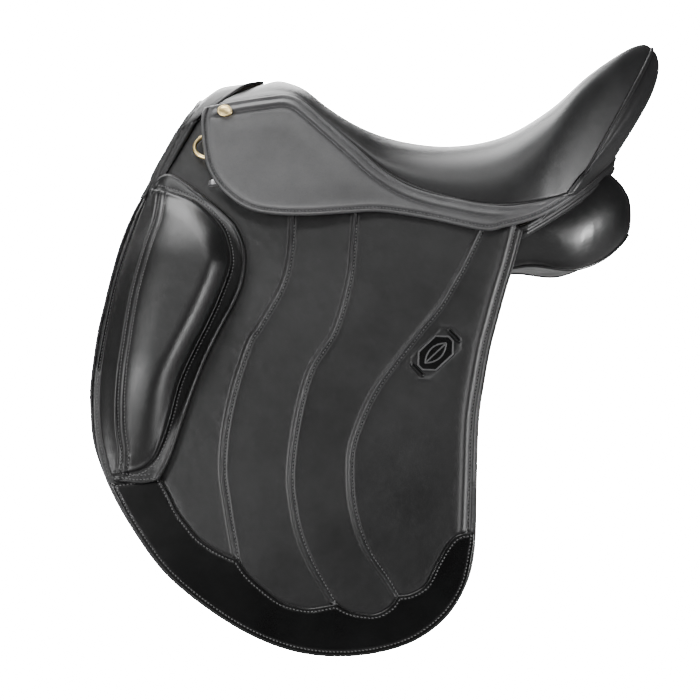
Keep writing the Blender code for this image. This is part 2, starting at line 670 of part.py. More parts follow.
def make_block(side, word):
    """The knee block in two parts, the tip above the flap's fold and the rest below. Returns the rest."""
    def face(x, z):
        return flap_half(x, z) + GAP + block_depth(x, z)

    made = []
    for name, low in ((f"knee_block_tip_{word}", False), (f"knee_block_{word}", True)):
        def cut(bm, low=low):
            keep_beyond(bm, FLAP_FOLD, BLOCK_FOLD_GAP, low)
        bm = bent_sheet(BLOCK_LINE, side, face, block_depth, 26.0, 1, cut)
        lean_fold_edge(bm, low)
        made.append(finish_mesh(name, bm, LEATHER))
    return made[1]


def lean_fold_edge(bm, low):
    """Leans the block's face at the fold away from it, so that the two parts close as the flap lifts."""
    (x0, z0), (x1, z1) = FLAP_FOLD
    along = Vector((x1 - x0, 0, z1 - z0)).normalized()
    up = Vector((-along.z, 0, along.x))
    for vert in bm.verts:
        height = (Vector((vert.co.x, 0, vert.co.z)) - Vector((x0, 0, z0))).dot(up)
        proud = abs(vert.co.y) - flap_half(vert.co.x, vert.co.z)
        if abs(height) < 3.2 and proud > 1.0:
            slope = 0.75 if low else 0.45
            shift = proud * slope * (-1 if low else 1)
            vert.co += up * shift


def make_panel(side, word):
    rings = []
    for x, ring in PANEL:
        rings.append([Vector((p.x, p.y, x)) for p in curve_through([Vector((h, z, 0)) for h, z in ring], 2)])
    count = len(rings[0])
    lines = [curve_through([ring[i] for ring in rings], 2, closed=False) for i in range(count)]
    body = []
    for k in range(len(lines[0])):
        points = [line[k] for line in lines]
        inside = [min(p.x, sweat_half(p.z, p.y) - SWEAT_THICK - 1.2) for p in points]
        body.append([Vector((p.z, side * h, p.y)) for h, p in zip(inside, points)])
    finish_mesh(f"panel_{word}", loft(body), LEATHER)


def strap_half(x, z, off=0.0):
    """Middle of the girth straps, which hang straight between the flap and the sweat flap."""
    high_half = flap_half(STRAP_MID_X, STRAP_TOP) - STRAP_INSET
    low_half = flap_half(STRAP_MID_X, STRAP_END) - STRAP_INSET
    share = (STRAP_TOP - z) / (STRAP_TOP - STRAP_END)
    return high_half + (low_half - high_half) * share + STRAP_LEAN * (x - STRAP_MID_X) + off


def make_straps(side, word):
    """Two girth straps that swing together, and the sleeve that slides along them."""
    straps = []
    for place, x_mid in STRAP_X:
        low, high = x_mid - STRAP_WIDE / 2, x_mid + STRAP_WIDE / 2
        ring = [(low, STRAP_TOP), (low, STRAP_END + 16), (x_mid - 5, STRAP_END), (x_mid + 5, STRAP_END),
                (high, STRAP_END + 16), (high, STRAP_TOP)]
        rings = []
        for off in (-STRAP_THICK / 2, STRAP_THICK / 2):
            rings.append([Vector((x, side * strap_half(x, z, off), z)) for x, z in ring])
        straps.append(finish_mesh(f"girth_strap_{place}_{word}", loft(rings), STRAP_LEATHER))
    pivot = Vector((STRAP_MID_X, side * strap_half(STRAP_MID_X, STRAP_TOP), STRAP_TOP))
    joint = hang_on_joint(f"strap_joint_{word}", pivot, straps)
    guard = make_guard(side, word)
    guard.parent = joint
    guard.location = -joint.location


def make_guard(side, word):
    """A flat leather sleeve around both girth straps. Returns it."""
    outer_off, inner_off = STRAP_THICK / 2 + 0.5, -STRAP_THICK / 2 - 0.5
    rings = []
    for z in GUARD_Z[::-1]:
        x0, x1 = GUARD_X
        ring = [(x0, inner_off - 2.0), (x1, inner_off - 2.0), (x1, outer_off + 3.0), (x0, outer_off + 3.0)]
        hole = [(x0 + 5, inner_off), (x1 - 5, inner_off), (x1 - 5, outer_off), (x0 + 5, outer_off)]
        rings.append(([Vector((x, side * strap_half(x, z, off), z)) for x, off in ring],
                      [Vector((x, side * strap_half(x, z, off), z)) for x, off in hole]))
    bm = bmesh.new()
    top_out, low_out = ([bm.verts.new(p) for p in rings[k][0]] for k in (0, 1))
    top_in, low_in = ([bm.verts.new(p) for p in rings[k][1]] for k in (0, 1))
    for i in range(4):
        j = (i + 1) % 4
        bm.faces.new((top_out[i], top_out[j], low_out[j], low_out[i]))
        bm.faces.new((top_in[j], top_in[i], low_in[i], low_in[j]))
        bm.faces.new((top_out[j], top_out[i], top_in[i], top_in[j]))
        bm.faces.new((low_out[i], low_out[j], low_in[j], low_in[i]))
    return finish_mesh(f"buckle_guard_{word}", bm, STRAP_LEATHER)


def make_pocket(side, word):
    """A leather cup on the sweat flap that takes the point of the tree, open at the top."""
    x0, x1, wall = -221.0, -182.0, 1.6
    face_out, face_in = -9.0, -27.0
    top, low, floor = -6.0, -44.0, -40.0
    bm = bmesh.new()

    def ring(z, inset):
        """Four corners at height z, moved inwards by inset."""
        spots = ((x0 + inset, face_in + inset), (x1 - inset, face_in + inset),
                 (x1 - inset, face_out - inset), (x0 + inset, face_out - inset))
        return [bm.verts.new((x, side * (flap_half(x, z) + off), z)) for x, off in spots]

    rings = [ring(low, 0), ring(top, 0), ring(top, wall), ring(floor, wall)]
    bm.faces.new(rings[0])
    bm.faces.new(rings[-1])
    for near, far in zip(rings, rings[1:]):
        for i in range(4):
            j = (i + 1) % 4
            bm.faces.new((near[i], near[j], far[j], far[i]))
    finish_mesh(f"point_pocket_{word}", bm, STRAP_LEATHER)


def seat_front(h):
    """Front edge of the seat, where the pommel facing ends."""
    half = SEAT[0][2]
    share = min(1.0, h / half)
    return seat_point(SEAT[0], share, 0)


FACING_TOP = [(0, -214, 171), (22, -213, 170), (42, -214, 163)]
FACING_SIDE = [(-221, 152), (-231, 138), (-242, 119), (-253, 101)]
FACING_WIDE = 8.0


def make_pommel_facing():
    """Leather folded over the head: wide on top, a narrow band down both fronts."""
    stations = [(-1, x, z) for x, z in FACING_SIDE[::-1]] + [(-1, h, x, z) for h, x, z in FACING_TOP[:0:-1]]
    stations += [(1, h, x, z) for h, x, z in FACING_TOP] + [(1, x, z) for x, z in FACING_SIDE]
    outer, inner = [], []
    for side, *spot in stations:
        if len(spot) == 3:
            h, x, z = spot
            front = Vector((x, side * h, z))
            edge = seat_front(h * 1.15)
            back = Vector((edge.x - 2.0, side * edge.y, edge.z + 1.0))
            middle = front.lerp(back, 0.35) + Vector((0, 0, 7.0 - 0.1 * h))
            sink = Vector((0, 0, -3.0))
        else:
            x, z = spot
            front = Vector((x, side * flap_half(x, z), z))
            back = Vector((x + FACING_WIDE, side * flap_half(x + FACING_WIDE, z + 2), z + 2))
            middle = front.lerp(back, 0.5) + Vector((0, side, 0))
            sink = Vector((0, -side * 3.0, 0))
        outer.append([front, middle, back])
        inner.append([front + sink + Vector((1.5, 0, 0)), middle + sink, back + sink])
    finish_mesh("pommel_facing", shell_between(outer, inner), LEATHER)


def make_rear_facing():
    """Narrow leather facing along the panels' top edge, under the cantle cover."""
    outer, inner = [], []
    for i in range(-10, 11):
        u = math.sin(math.pi / 2 * i / 10) * 0.98
        top = hem_point(u)
        away = Vector((1.0 - 0.7 * u * u, 0.9 * u, 0)).normalized()
        low = top + Vector((-1.0, 0, -9.0)) + away * 2.0
        outer.append([top + away * 2.2 + Vector((0, 0, -0.4)), low])
        inner.append([top + away * 0.2 + Vector((0, 0, -0.4)), low - away * 2.0])
    finish_mesh("rear_facing", shell_between(outer, inner), LEATHER)


def main():
    clear_scene()
    make_seat()
    make_cantle()
    make_tree()
    make_webs()
    make_pommel_facing()
    make_rear_facing()
    for side, word in SIDES:
        make_bar(side, word)
        make_dee(side, word)
        make_nail(side, word)
        make_skirt(side, word)
        make_flap(side, word)
        make_panel(side, word)
        make_straps(side, word)
        make_pocket(side, word)


main()
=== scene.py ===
"""Looks of the dressage saddle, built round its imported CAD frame.

Frame: +X towards the cantle, +Y to the horse's right, +Z up. Sizes here are millimetres, and add_mesh()
turns them into metres. A place is given by x, by h, its distance from the mid-plane, and by z. The left
and right halves are mirror images: side is -1 for the horse's left and +1 for its right.

A table of beads holds (height, place, width) of each ridge or groove, its place measured from a line or
an edge. A table of mesh rows holds the distances from a line at which the mesh gets extra points.
"""
import bpy
import bmesh
import math
import numpy as np
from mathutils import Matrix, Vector, geometry


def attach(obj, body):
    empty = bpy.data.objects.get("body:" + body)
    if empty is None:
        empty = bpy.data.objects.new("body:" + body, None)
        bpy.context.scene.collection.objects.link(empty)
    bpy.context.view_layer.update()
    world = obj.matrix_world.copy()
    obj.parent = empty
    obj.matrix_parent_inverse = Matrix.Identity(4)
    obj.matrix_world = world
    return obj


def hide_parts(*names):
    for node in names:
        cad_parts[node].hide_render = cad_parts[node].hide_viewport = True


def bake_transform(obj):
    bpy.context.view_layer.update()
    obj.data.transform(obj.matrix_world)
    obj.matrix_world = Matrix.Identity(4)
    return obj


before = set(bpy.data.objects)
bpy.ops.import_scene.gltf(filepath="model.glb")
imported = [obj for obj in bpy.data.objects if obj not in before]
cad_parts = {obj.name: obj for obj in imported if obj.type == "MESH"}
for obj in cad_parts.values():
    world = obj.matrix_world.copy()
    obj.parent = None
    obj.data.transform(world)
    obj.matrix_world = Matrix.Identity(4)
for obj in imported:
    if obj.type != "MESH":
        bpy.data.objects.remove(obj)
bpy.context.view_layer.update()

MM = 0.001
SIDES = ((-1, "left"), (1, "right"))
TINY = 1e-9

# ---------------------------------------------------------------- surfaces, the same as the CAD's

FLAP_TOP_Z, FLAP_DROP = 115.0, 475.0
TOP_HALF, TOP_FLARE = 126.6, 0.222
LOW_HALF, LOW_FLARE = 223.8, 0.03
FLARE_LEAD = 0.35
FLAP_BOW, BOW_MIDDLE = 0.00012, -20
TAIL_START, TAIL_CURL = 80.0, 0.004
FLAP_THICK, SKIRT_THICK, SWEAT_THICK = 4.5, 4.0, 3.5
SWEAT_INSET, SWEAT_FRONT = 20.0, (11.0, -230, 60)
SKIRT_OFF, SKIRT_FRONT = 2.0, (10.0, -5, 115)
GAP = 0.4
FLAP_FOLD = ((-262.0, 60.0), (125.0, 30.0))
SKIRT_FOLD = ((-209.0, 160.0), (-8.0, 56.0))
STRAP_MID_X, STRAP_TOP, STRAP_END = -59.5, 53.0, -322.0
STRAP_INSET, STRAP_LEAN, STRAP_THICK = 12.0, 0.1, 4.0


def ease(value):
    value = np.clip(value, 0.0, 1.0)
    return value * value * (3 - 2 * value)


def forward(x, rule):
    """Grows to its full height as x goes forward from a start over a run."""
    high, start, run = rule
    return high * ease((start - x) / run)


def side_wall(x, z, lead):
    """The leaning, bowed wall that the flaps follow. The larger the lead, the sooner it flares."""
    drop = (FLAP_TOP_Z - z) / FLAP_DROP
    top, low = TOP_HALF + TOP_FLARE * x, LOW_HALF + LOW_FLARE * x
    return top + (low - top) * drop * (1 + lead - lead * drop) - FLAP_BOW * (x - BOW_MIDDLE) ** 2


def flap_half(x, z):
    return side_wall(x, z, FLARE_LEAD) - TAIL_CURL * np.maximum(0.0, x - TAIL_START) ** 2


def sweat_half(x, z):
    return side_wall(x, z, 0.0) - SWEAT_INSET + forward(x, SWEAT_FRONT)


def skirt_half(x, z):
    return flap_half(x, z) + SKIRT_OFF + forward(x, SKIRT_FRONT) + SKIRT_THICK


def strap_half(x, z):
    high = flap_half(STRAP_MID_X, STRAP_TOP) - STRAP_INSET
    low = flap_half(STRAP_MID_X, STRAP_END) - STRAP_INSET
    share = (STRAP_TOP - z) / (STRAP_TOP - STRAP_END)
    return high + (low - high) * share + STRAP_LEAN * (x - STRAP_MID_X)


# ---------------------------------------------------------------- curves in the plane of x and z

def unit(rows):
    return rows / np.maximum(TINY, np.linalg.norm(rows, axis=-1))[..., None]


def catmull_rom(points, i, shares, closed=False):
    """Places between point i and the next one on a smooth curve through all the points."""
    count = len(points)
    ids = [(i + k) % count if closed else min(count - 1, max(0, i + k)) for k in (-1, 0, 1, 2)]
    a, b, c, d = points[ids]
    t = np.reshape(shares, (-1,) + (1,) * (points.ndim - 1))
    bend = (2 * a - 5 * b + 4 * c - d) * t ** 2 + (3 * b - a - 3 * c + d) * t ** 3
    return 0.5 * (2 * b + (c - a) * t + bend)


def run_of(line):
    """How far each point lies along the line."""
    return np.concatenate([[0], np.cumsum(np.linalg.norm(np.diff(line, axis=0), axis=1))])


def at_run(line, run, at):
    return np.stack([np.interp(at, run, line[:, k]) for k in range(line.shape[1])], 1)


def curve_points(points, step, closed=False):
    """Smooth curve through a few points, sampled evenly at about the given step."""
    p = np.array(points, float)
    shares = np.linspace(0, 1, 24, endpoint=False)
    dense = [catmull_rom(p, i, shares, closed) for i in range(len(p) if closed else len(p) - 1)]
    dense.append(p[:1] if closed else p[-1:])
    dense = np.concatenate(dense)
    run = run_of(dense)
    spans = max(2, int(round(run[-1] / step)))
    even = at_run(dense, run, np.linspace(0, run[-1], spans + 1))
    return even[:-1] if closed else even


def outline_of(runs, step):
    """Closed outline from smooth runs that meet at sharp corners."""
    return np.concatenate([curve_points(run, step)[:-1] for run in runs])


def smoothed(line, times, closed=False):
    for _ in range(times):
        soft = 0.25 * np.roll(line, 1, 0) + 0.5 * line + 0.25 * np.roll(line, -1, 0)
        if not closed:
            soft[[0, -1]] = line[[0, -1]]
        line = soft
    return line


def beside(line, distance, closed=False):
    """The line moved sideways, to its left when the distance is positive."""
    along = np.roll(line, -1, 0) - np.roll(line, 1, 0) if closed else np.gradient(line, axis=0)
    along = unit(along)
    return line + np.stack([-along[:, 1], along[:, 0]], 1) * distance


def distance_to(points, line, closed=False):
    """Distance from each point to a line, and on which side of it the point lies."""
    start = line if closed else line[:-1]
    end = np.roll(line, -1, 0) if closed else line[1:]
    seg = end - start
    best = np.full(len(points), 1e9)
    which = np.zeros(len(points))
    length = np.maximum(TINY, (seg ** 2).sum(1))
    for chunk in np.array_split(np.arange(len(points)), max(1, len(points) // 2000)):
        rel = points[chunk][:, None] - start[None]
        t = np.clip((rel * seg[None]).sum(2) / length, 0, 1)
        off = rel - t[..., None] * seg[None]
        d = np.sqrt((off ** 2).sum(2))
        k = d.argmin(1)
        rows = np.arange(len(chunk))
        best[chunk] = d[rows, k]
        cross = seg[k, 0] * rel[rows, k, 1] - seg[k, 1] * rel[rows, k, 0]
        which[chunk] = np.where(cross >= 0, 1.0, -1.0)
    return best, which


def signed(points, line):
    d, which = distance_to(points, line)
    return d * which


def inside(points, outline):
    """Which points lie inside a closed outline."""
    x, z = points[:, 0], points[:, 1]
    found = np.zeros(len(points), bool)
    for (ax, az), (bx, bz) in zip(outline, np.roll(outline, -1, 0)):
        crosses = (az > z) != (bz > z)
        found ^= crosses & (x < (bx - ax) * (z - az) / (bz - az + 1e-12) + ax)
    return found


def beads(distance, table):
    """Soft ridges and grooves along a line."""
    return sum(high * np.exp(-((distance - place) / wide) ** 2) for high, place, wide in table)


# ---------------------------------------------------------------- making pieces

def add_object(name, data):
    made = bpy.data.objects.new(name, data)
    bpy.context.scene.collection.objects.link(made)
    return made


def add_mesh(name, points, faces, look):
    mesh = bpy.data.meshes.new(name)
    mesh.from_pydata((np.asarray(points) * MM).tolist(), [], [tuple(int(i) for i in f) for f in faces])
    mesh.validate()
    piece = add_object(name, mesh)
    mesh.materials.append(LOOKS[look])
    return outward_normals(piece)


def outward_normals(piece):
    bm = bmesh.new()
    bm.from_mesh(piece.data)
    bmesh.ops.recalc_face_normals(bm, faces=bm.faces)
    bm.to_mesh(piece.data)
    bm.free()
    piece.data.shade_smooth()
    return piece


def placed(piece, body, *nodes):
    """Fixes the piece to a body, in place of the given CAD nodes."""
    if nodes:
        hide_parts(*nodes)
    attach(piece, body)


def mesh_points(outline, extra, cell, lines):
    """Points inside an outline: beside its edge, beside the lines, and on a grid elsewhere."""
    ahead = np.roll(outline, -1, 0)
    clockwise = np.sum(outline[:, 0] * ahead[:, 1] - outline[:, 1] * ahead[:, 0]) < 0
    inward = -1.0 if clockwise else 1.0
    sets = [beside(outline, inward * d, True) for d in extra]
    sets += [beside(line, d) for line, rows in lines for d in rows]
    near = np.concatenate(sets)
    near = near[inside(near, outline)]
    near = near[distance_to(near, outline, True)[0] > min(extra) * 0.8]
    low, high = outline.min(0), outline.max(0)
    xs = np.arange(low[0], high[0], cell)
    zs = np.arange(low[1], high[1], cell * 0.87)
    grid = np.array([(x + (k % 2) * cell / 2, z) for k, z in enumerate(zs) for x in xs])
    grid = grid[inside(grid, outline)]
    grid = grid[distance_to(grid, outline, True)[0] > max(extra) + cell * 0.4]
    for line, rows in lines:
        grid = grid[distance_to(grid, line)[0] > max(abs(r) for r in rows) + cell * 0.35]
    return near, grid


def triangulated(outline, extra, cell, lines, holes):
    """Points and triangles that fill an outline, with holes left open."""
    near, grid = mesh_points(outline, extra, cell, lines)
    edges = []
    start = len(outline) + len(near) + len(grid)
    for hole in holes:
        size = len(hole)
        edges += [(start + i, start + (i + 1) % size) for i in range(size)]
        start += size
    flat = np.concatenate([outline, near, grid, *holes])
    loop = list(range(len(outline)))
    verts, _, faces, *_ = geometry.delaunay_2d_cdt([Vector(p) for p in flat], edges, [loop], 1, 0.02)
    verts = np.array([tuple(v) for v in verts])
    faces = np.array([f for f in faces if len(f) == 3])
    centre = verts[faces].mean(1)
    for hole in holes:
        out = ~inside(centre, hole)
        faces, centre = faces[out], centre[out]
    used = np.unique(faces)
    again = np.full(len(verts), -1)
    again[used] = np.arange(len(used))
    return verts[used], again[faces]


def rounded_fall(dist, radius):
    """How far a rounded edge has dropped at a distance from it."""
    share = np.clip(dist / radius, 0, 1)
    return radius * (1 - np.sqrt(1 - (1 - share) ** 2))


def sheet(name, side, outline, half, thick, look, cell=6.0, edge=1.5, relief=None, lines=(), holes=(),
          back_edge=0.8):
    """A sheet of leather: its front follows half(x, z) plus its relief, and its edges are rounded."""
    extra = (edge * 0.3, edge * 0.75, edge * 1.3, edge * 1.3 + cell * 0.4)
    flat, faces = triangulated(outline, extra, cell, lines, holes)
    dist = np.min([distance_to(flat, loop, True)[0] for loop in (outline, *holes)], axis=0)
    x, z = flat[:, 0], flat[:, 1]
    depth = thick(x, z) if callable(thick) else np.full(len(flat), float(thick))
    rise = relief(flat, dist) if relief else 0.0
    face = half(x, z)
    front = face + rise - np.minimum(rounded_fall(dist, edge), depth * 0.6)
    back = face - depth + np.minimum(rounded_fall(dist, back_edge), depth * 0.3)
    points = np.concatenate([np.stack([x, side * front, z], 1), np.stack([x, side * back, z], 1)])
    count = len(flat)
    edges = {}
    for a, b, c in faces:
        for i, j in ((a, b), (b, c), (c, a)):
            key = (min(i, j), max(i, j))
            edges[key] = None if key in edges else (i, j)
    made = [tuple(f) for f in faces] + [tuple(reversed([i + count for i in f])) for f in faces]
    made += [(i[1], i[0], i[0] + count, i[1] + count) for i in edges.values() if i]
    return add_mesh(name, points, made, look)


def grid_faces(rows, cols, closed=False):
    faces = []
    for r in range(rows - 1):
        for c in range(cols if closed else cols - 1):
            d = (c + 1) % cols
            faces.append((r * cols + c, r * cols + d, (r + 1) * cols + d, (r + 1) * cols + c))
    return faces


def closed_pad(name, top, low, look):
    """A closed body between two grids of the same size."""
    rows, cols = top.shape[:2]
    count = rows * cols
    faces = grid_faces(rows, cols)
    faces += [tuple(reversed([i + count for i in f])) for f in faces]
    rim = list(range(cols)) + [r * cols + cols - 1 for r in range(1, rows)]
    rim += [(rows - 1) * cols + c for c in range(cols - 2, -1, -1)]
    rim += [r * cols for r in range(rows - 2, 0, -1)]
    faces += [(j, i, i + count, j + count) for i, j in zip(rim, rim[1:] + rim[:1])]
    return add_mesh(name, np.concatenate([top.reshape(-1, 3), low.reshape(-1, 3)]), faces, look)


def grid_normals(grid):
    return unit(np.cross(np.gradient(grid, axis=0), np.gradient(grid, axis=1)))


def skin(name, grid, look, thick):
    """A closed skin on a grid of points, as thick as given, towards the inside of the grid."""
    return closed_pad(name, grid, grid - grid_normals(grid) * thick, look)


def hoop(middle, across, other, count):
    """Points of an oval round its middle, on two half-axes."""
    turn = (2 * math.pi * np.arange(count) / count)[:, None]
    return middle + across * np.cos(turn) + other * np.sin(turn)


def ring_body(name, rings, look, tips=None):
    """A closed body through rings of points. Two tips cap its ends, or else the middles of the end rings."""
    rows, cols = rings.shape[:2]
    tips = np.stack([rings[0].mean(0), rings[-1].mean(0)]) if tips is None else tips
    faces = grid_faces(rows, cols, closed=True)
    last = (rows - 1) * cols
    for k in range(cols):
        j = (k + 1) % cols
        faces += [(rows * cols, j, k), (rows * cols + 1, last + k, last + j)]
    return add_mesh(name, np.concatenate([rings.reshape(-1, 3), tips]), faces, look)


def tube(name, path, radius, look, sides=10):
    """A round cord along a path of points in space. The radius is one value or one for each point."""
    path = np.asarray(path, float)
    along = unit(np.gradient(path, axis=0))
    radii = np.broadcast_to(radius, len(path))
    across = np.cross(along[0], (0.0, 0.0, 1.0))
    if np.linalg.norm(across) < 0.2:
        across = np.cross(along[0], (1.0, 0.0, 0.0))
    rings = []
    for spot, ahead, r in zip(path, along, radii):
        across = unit(across - ahead * across.dot(ahead))
        rings.append(hoop(spot, across * r, np.cross(ahead, across) * r, sides))
    tips = np.stack([path[0] - along[0] * radii[0] * 0.5, path[-1] + along[-1] * radii[-1] * 0.5])
    return ring_body(name, np.array(rings), look, tips)


STITCH_PITCH, STITCH_LONG, STITCH_WIDE = 3.4, 2.3, 0.62
STITCH_END, STITCH_SIDES, STITCH_LEAN = 1.5, 6, 0.16
# Rings of one stitch: share of its half-length, share of its width, and lift.
STITCH_RINGS = ((-1.0, 0.25, -0.55), (-0.72, 0.8, -0.1), (0.0, 1.0, 0.12), (0.72, 0.8, -0.1),
                (1.0, 0.25, -0.55))


def stitch_places(line):
    """Middles and directions of the stitches along a line in space."""
    run = run_of(line)
    long = run[-1] - 2 * STITCH_END
    spans = max(1, int(long / STITCH_PITCH))
    at = STITCH_END + (np.arange(spans) + 0.5) * long / spans
    return at_run(line, run, at), unit(at_run(line, run, at + 0.6) - at_run(line, run, at - 0.6))


def stitches(name, rows):
    """Thread in rows of short stitches. Each row is a line in space and the way out of the leather."""
    blocks = []
    for line, outward in rows:
        middle, along = stitch_places(line)
        out = outward(middle) if callable(outward) else np.broadcast_to(outward, middle.shape)
        out = unit(out - along * (out * along).sum(1)[:, None])
        turned = along * math.cos(STITCH_LEAN) + np.cross(along, out) * math.sin(STITCH_LEAN)
        across = np.cross(turned, out)
        for reach, width, lift in STITCH_RINGS:
            spot = middle + turned * reach * STITCH_LONG / 2 + out * lift
            wide = STITCH_WIDE * width
            blocks.append(hoop(spot[:, None], across[:, None] * wide, out[:, None] * wide, STITCH_SIDES))
    rings, sides = len(STITCH_RINGS), STITCH_SIDES
    points = np.concatenate([np.concatenate(blocks[k:k + rings], 1).reshape(-1, 3)
                             for k in range(0, len(blocks), rings)])
    one = grid_faces(rings, sides, closed=True)
    one += [tuple(range(sides))[::-1], tuple(range((rings - 1) * sides, rings * sides))]
    faces = [tuple(base + v for v in f) for base in range(0, len(points), rings * sides) for f in one]
    return add_mesh(name, points, faces, "thread")


def on_face(line, side, half, lift=0.0):
    """A line in x and z laid on a face."""
    x, z = line[:, 0], line[:, 1]
    return np.stack([x, side * (half(x, z) + lift), z], 1)


def sewn(name, side, half, rows, out=None):
    """Stitches along lines laid on a face. Each row is a line in x and z and its lift off the face."""
    out = out or (0, side, 0)
    return stitches(name, [(on_face(line, side, half, lift), out) for line, lift in rows])


def surface_out(half, side):
    """The way out of a face, for points in space on it."""
    def out(middle):
        x, z = middle[:, 0], middle[:, 2]
        slope_x = half(x + 0.5, z) - half(x - 0.5, z)
        slope_z = half(x, z + 0.5) - half(x, z - 0.5)
        return np.stack([-slope_x, np.full(len(x), float(side)), -slope_z], 1)
    return out


def cross_fold(piece, side, fold, half):
    """Bakes the piece's place into its mesh. The fold's middle on the face is worked out, but nothing uses it.
    """
    (x0, z0), (x1, z1) = fold
    x, z = (x0 + x1) / 2, (z0 + z1) / 2
    middle = Vector((x, side * float(half(x, z)), z))
    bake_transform(piece)


# ---------------------------------------------------------------- materials

class Paint:
    """A procedural material in the making, on the piece's own coordinates."""

    def __init__(self, name):
        self.made = bpy.data.materials.new(name)
        self.made.use_nodes = True
        self.tree = self.made.node_tree
        self.shader = self.tree.nodes["Principled BSDF"]
        self.coords = self.tree.nodes.new("ShaderNodeTexCoord").outputs["Object"]

    def fill(self, node, inputs):
        for key, value in inputs.items():
            if isinstance(value, bpy.types.NodeSocket):
                self.tree.links.new(value, node.inputs[key])
            else:
                node.inputs[key].default_value = value

    def node(self, kind, output, inputs, **settings):
        node = self.tree.nodes.new(kind)
        for key, value in settings.items():
            setattr(node, key, value)
        self.fill(node, inputs)
        return node.outputs[output]

    def surface(self, **inputs):
        """Sets inputs of the shader, with an underscore for each space in their names."""
        self.fill(self.shader, {key.replace("_", " "): value for key, value in inputs.items()})

    def noise(self, scale, detail=3.0, rough=0.55, coords=None):
        values = {"Vector": coords or self.coords, "Scale": scale, "Detail": detail, "Roughness": rough}
        return self.node("ShaderNodeTexNoise", "Fac", values)

    def stretched(self, scale, detail):
        """Fine noise drawn out along x."""
        coords = self.node("ShaderNodeMapping", "Vector", {"Vector": self.coords, "Scale": scale})
        return self.noise(1.0, detail, coords=coords)

    def ramp(self, value, *stops):
        node = self.tree.nodes.new("ShaderNodeValToRGB")
        self.fill(node, {"Fac": value})
        points = node.color_ramp.elements
        while len(points) < len(stops):
            points.new(0.5)
        for point, (at, colour) in zip(points, stops):
            point.position = at
            point.color = (*colour, 1.0)
        return node.outputs["Color"]

    def span(self, value, low, high, to_low, to_high):
        values = {"Value": value, "From Min": low, "From Max": high, "To Min": to_low, "To Max": to_high}
        return self.node("ShaderNodeMapRange", "Result", values)

    def maths(self, operation, a, b=0.0):
        return self.node("ShaderNodeMath", "Value", {0: a, 1: b}, operation=operation)

    def total(self, *weighted):
        """Sum of values, each with its weight."""
        parts = [self.maths("MULTIPLY", value, weight) for value, weight in weighted]
        whole = parts[0]
        for part in parts[1:]:
            whole = self.maths("ADD", whole, part)
        return whole

    def mixed(self, share, first, second, **settings):
        values = {"Fac": share, "Color1": first, "Color2": second}
        return self.node("ShaderNodeMixRGB", "Color", values, **settings)

    def bumped(self, height, strength, depth):
        """Raises the surface by the height value; depth is in metres."""
        values = {"Height": height, "Strength": strength, "Distance": depth}
        self.surface(Normal=self.node("ShaderNodeBump", "Normal", values))


def leather(name, dark, light, rough, grain=1.0, scale=1150.0, coat=0.12, coat_rough=0.25, crease=0.5):
    """Dyed leather: fine cells of grain, pores, soft creases, and dye that varies and rubs lighter, with
    painted shade darkening the grooves between the grain cells.
    """
    paint = Paint(name)
    warp = paint.node("ShaderNodeTexNoise", "Color", {"Vector": paint.coords, "Scale": 60.0, "Detail": 2.0})
    bent = paint.mixed(0.012, paint.coords, warp)
    cells = paint.node("ShaderNodeTexVoronoi", "Distance", {"Vector": bent, "Scale": scale, "Randomness": 0.9},
                       feature="DISTANCE_TO_EDGE")
    cell_rise = paint.span(cells, 0.0, 0.28, 0.0, 1.0)
    pores = paint.noise(scale * 1.9, 2.0)
    folds = paint.noise(34.0, 4.0, 0.62)
    height = paint.total((cell_rise, 0.55), (pores, 0.3), (folds, crease * 2.2))
    paint.bumped(height, 0.55 * grain, 0.00016)
    tone = paint.noise(9.0, 5.0, 0.6)
    colour = paint.ramp(tone, (0.32, dark), (0.72, light))
    # pits darkens the colour in the grooves between the grain cells: painted shade
    pits = paint.ramp(cell_rise, (0.0, (0.55, 0.55, 0.55)), (0.5, (1.0, 1.0, 1.0)))
    gloss = paint.span(tone, 0.3, 0.75, rough - 0.05, rough + 0.06)
    gloss = paint.maths("ADD", gloss, paint.maths("MULTIPLY", pores, 0.06))
    paint.surface(Base_Color=paint.mixed(0.55, colour, pits, blend_type="MULTIPLY"), Roughness=gloss,
                  Coat_Weight=coat, Coat_Roughness=coat_rough, Specular_IOR_Level=0.5)
    return paint.made


def metal(name, colour, rough, brushed=0.35, tarnish=(0.3, 0.28, 0.22)):
    """Polished metal with fine scratches and a little tarnish in its hollows."""
    paint = Paint(name)
    lines = paint.stretched((260.0, 1800.0, 1800.0), 3.0)
    tone = paint.ramp(paint.noise(160.0, 4.0), (0.35, tarnish), (0.5, colour), (1.0, colour))
    paint.surface(Base_Color=paint.mixed(0.25, (*colour, 1.0), tone), Metallic=1.0,
                  Roughness=paint.span(lines, 0.2, 0.8, rough - 0.06, rough + 0.1))
    paint.bumped(lines, brushed * 0.3, 0.00003)
    return paint.made


def timber(name):
    """Laminated beech: thin plies seen on edge, with fibres along them."""
    paint = Paint(name)
    values = {"Vector": paint.coords, "Scale": 95.0, "Distortion": 1.4, "Detail": 2.0}
    plies = paint.node("ShaderNodeTexWave", "Fac", values, bands_direction="Z")
    fibres = paint.stretched((60.0, 700.0, 700.0), 4.0)
    wood = paint.ramp(fibres, (0.25, (0.28, 0.15, 0.065)), (0.7, (0.55, 0.36, 0.19)))
    lines = paint.ramp(plies, (0.0, (0.55, 0.5, 0.45)), (0.25, (1.0, 1.0, 1.0)))
    paint.surface(Base_Color=paint.mixed(0.7, wood, lines, blend_type="MULTIPLY"),
                  Roughness=paint.span(fibres, 0.2, 0.8, 0.38, 0.55), Coat_Weight=0.25)
    paint.bumped(fibres, 0.25, 0.0002)
    return paint.made


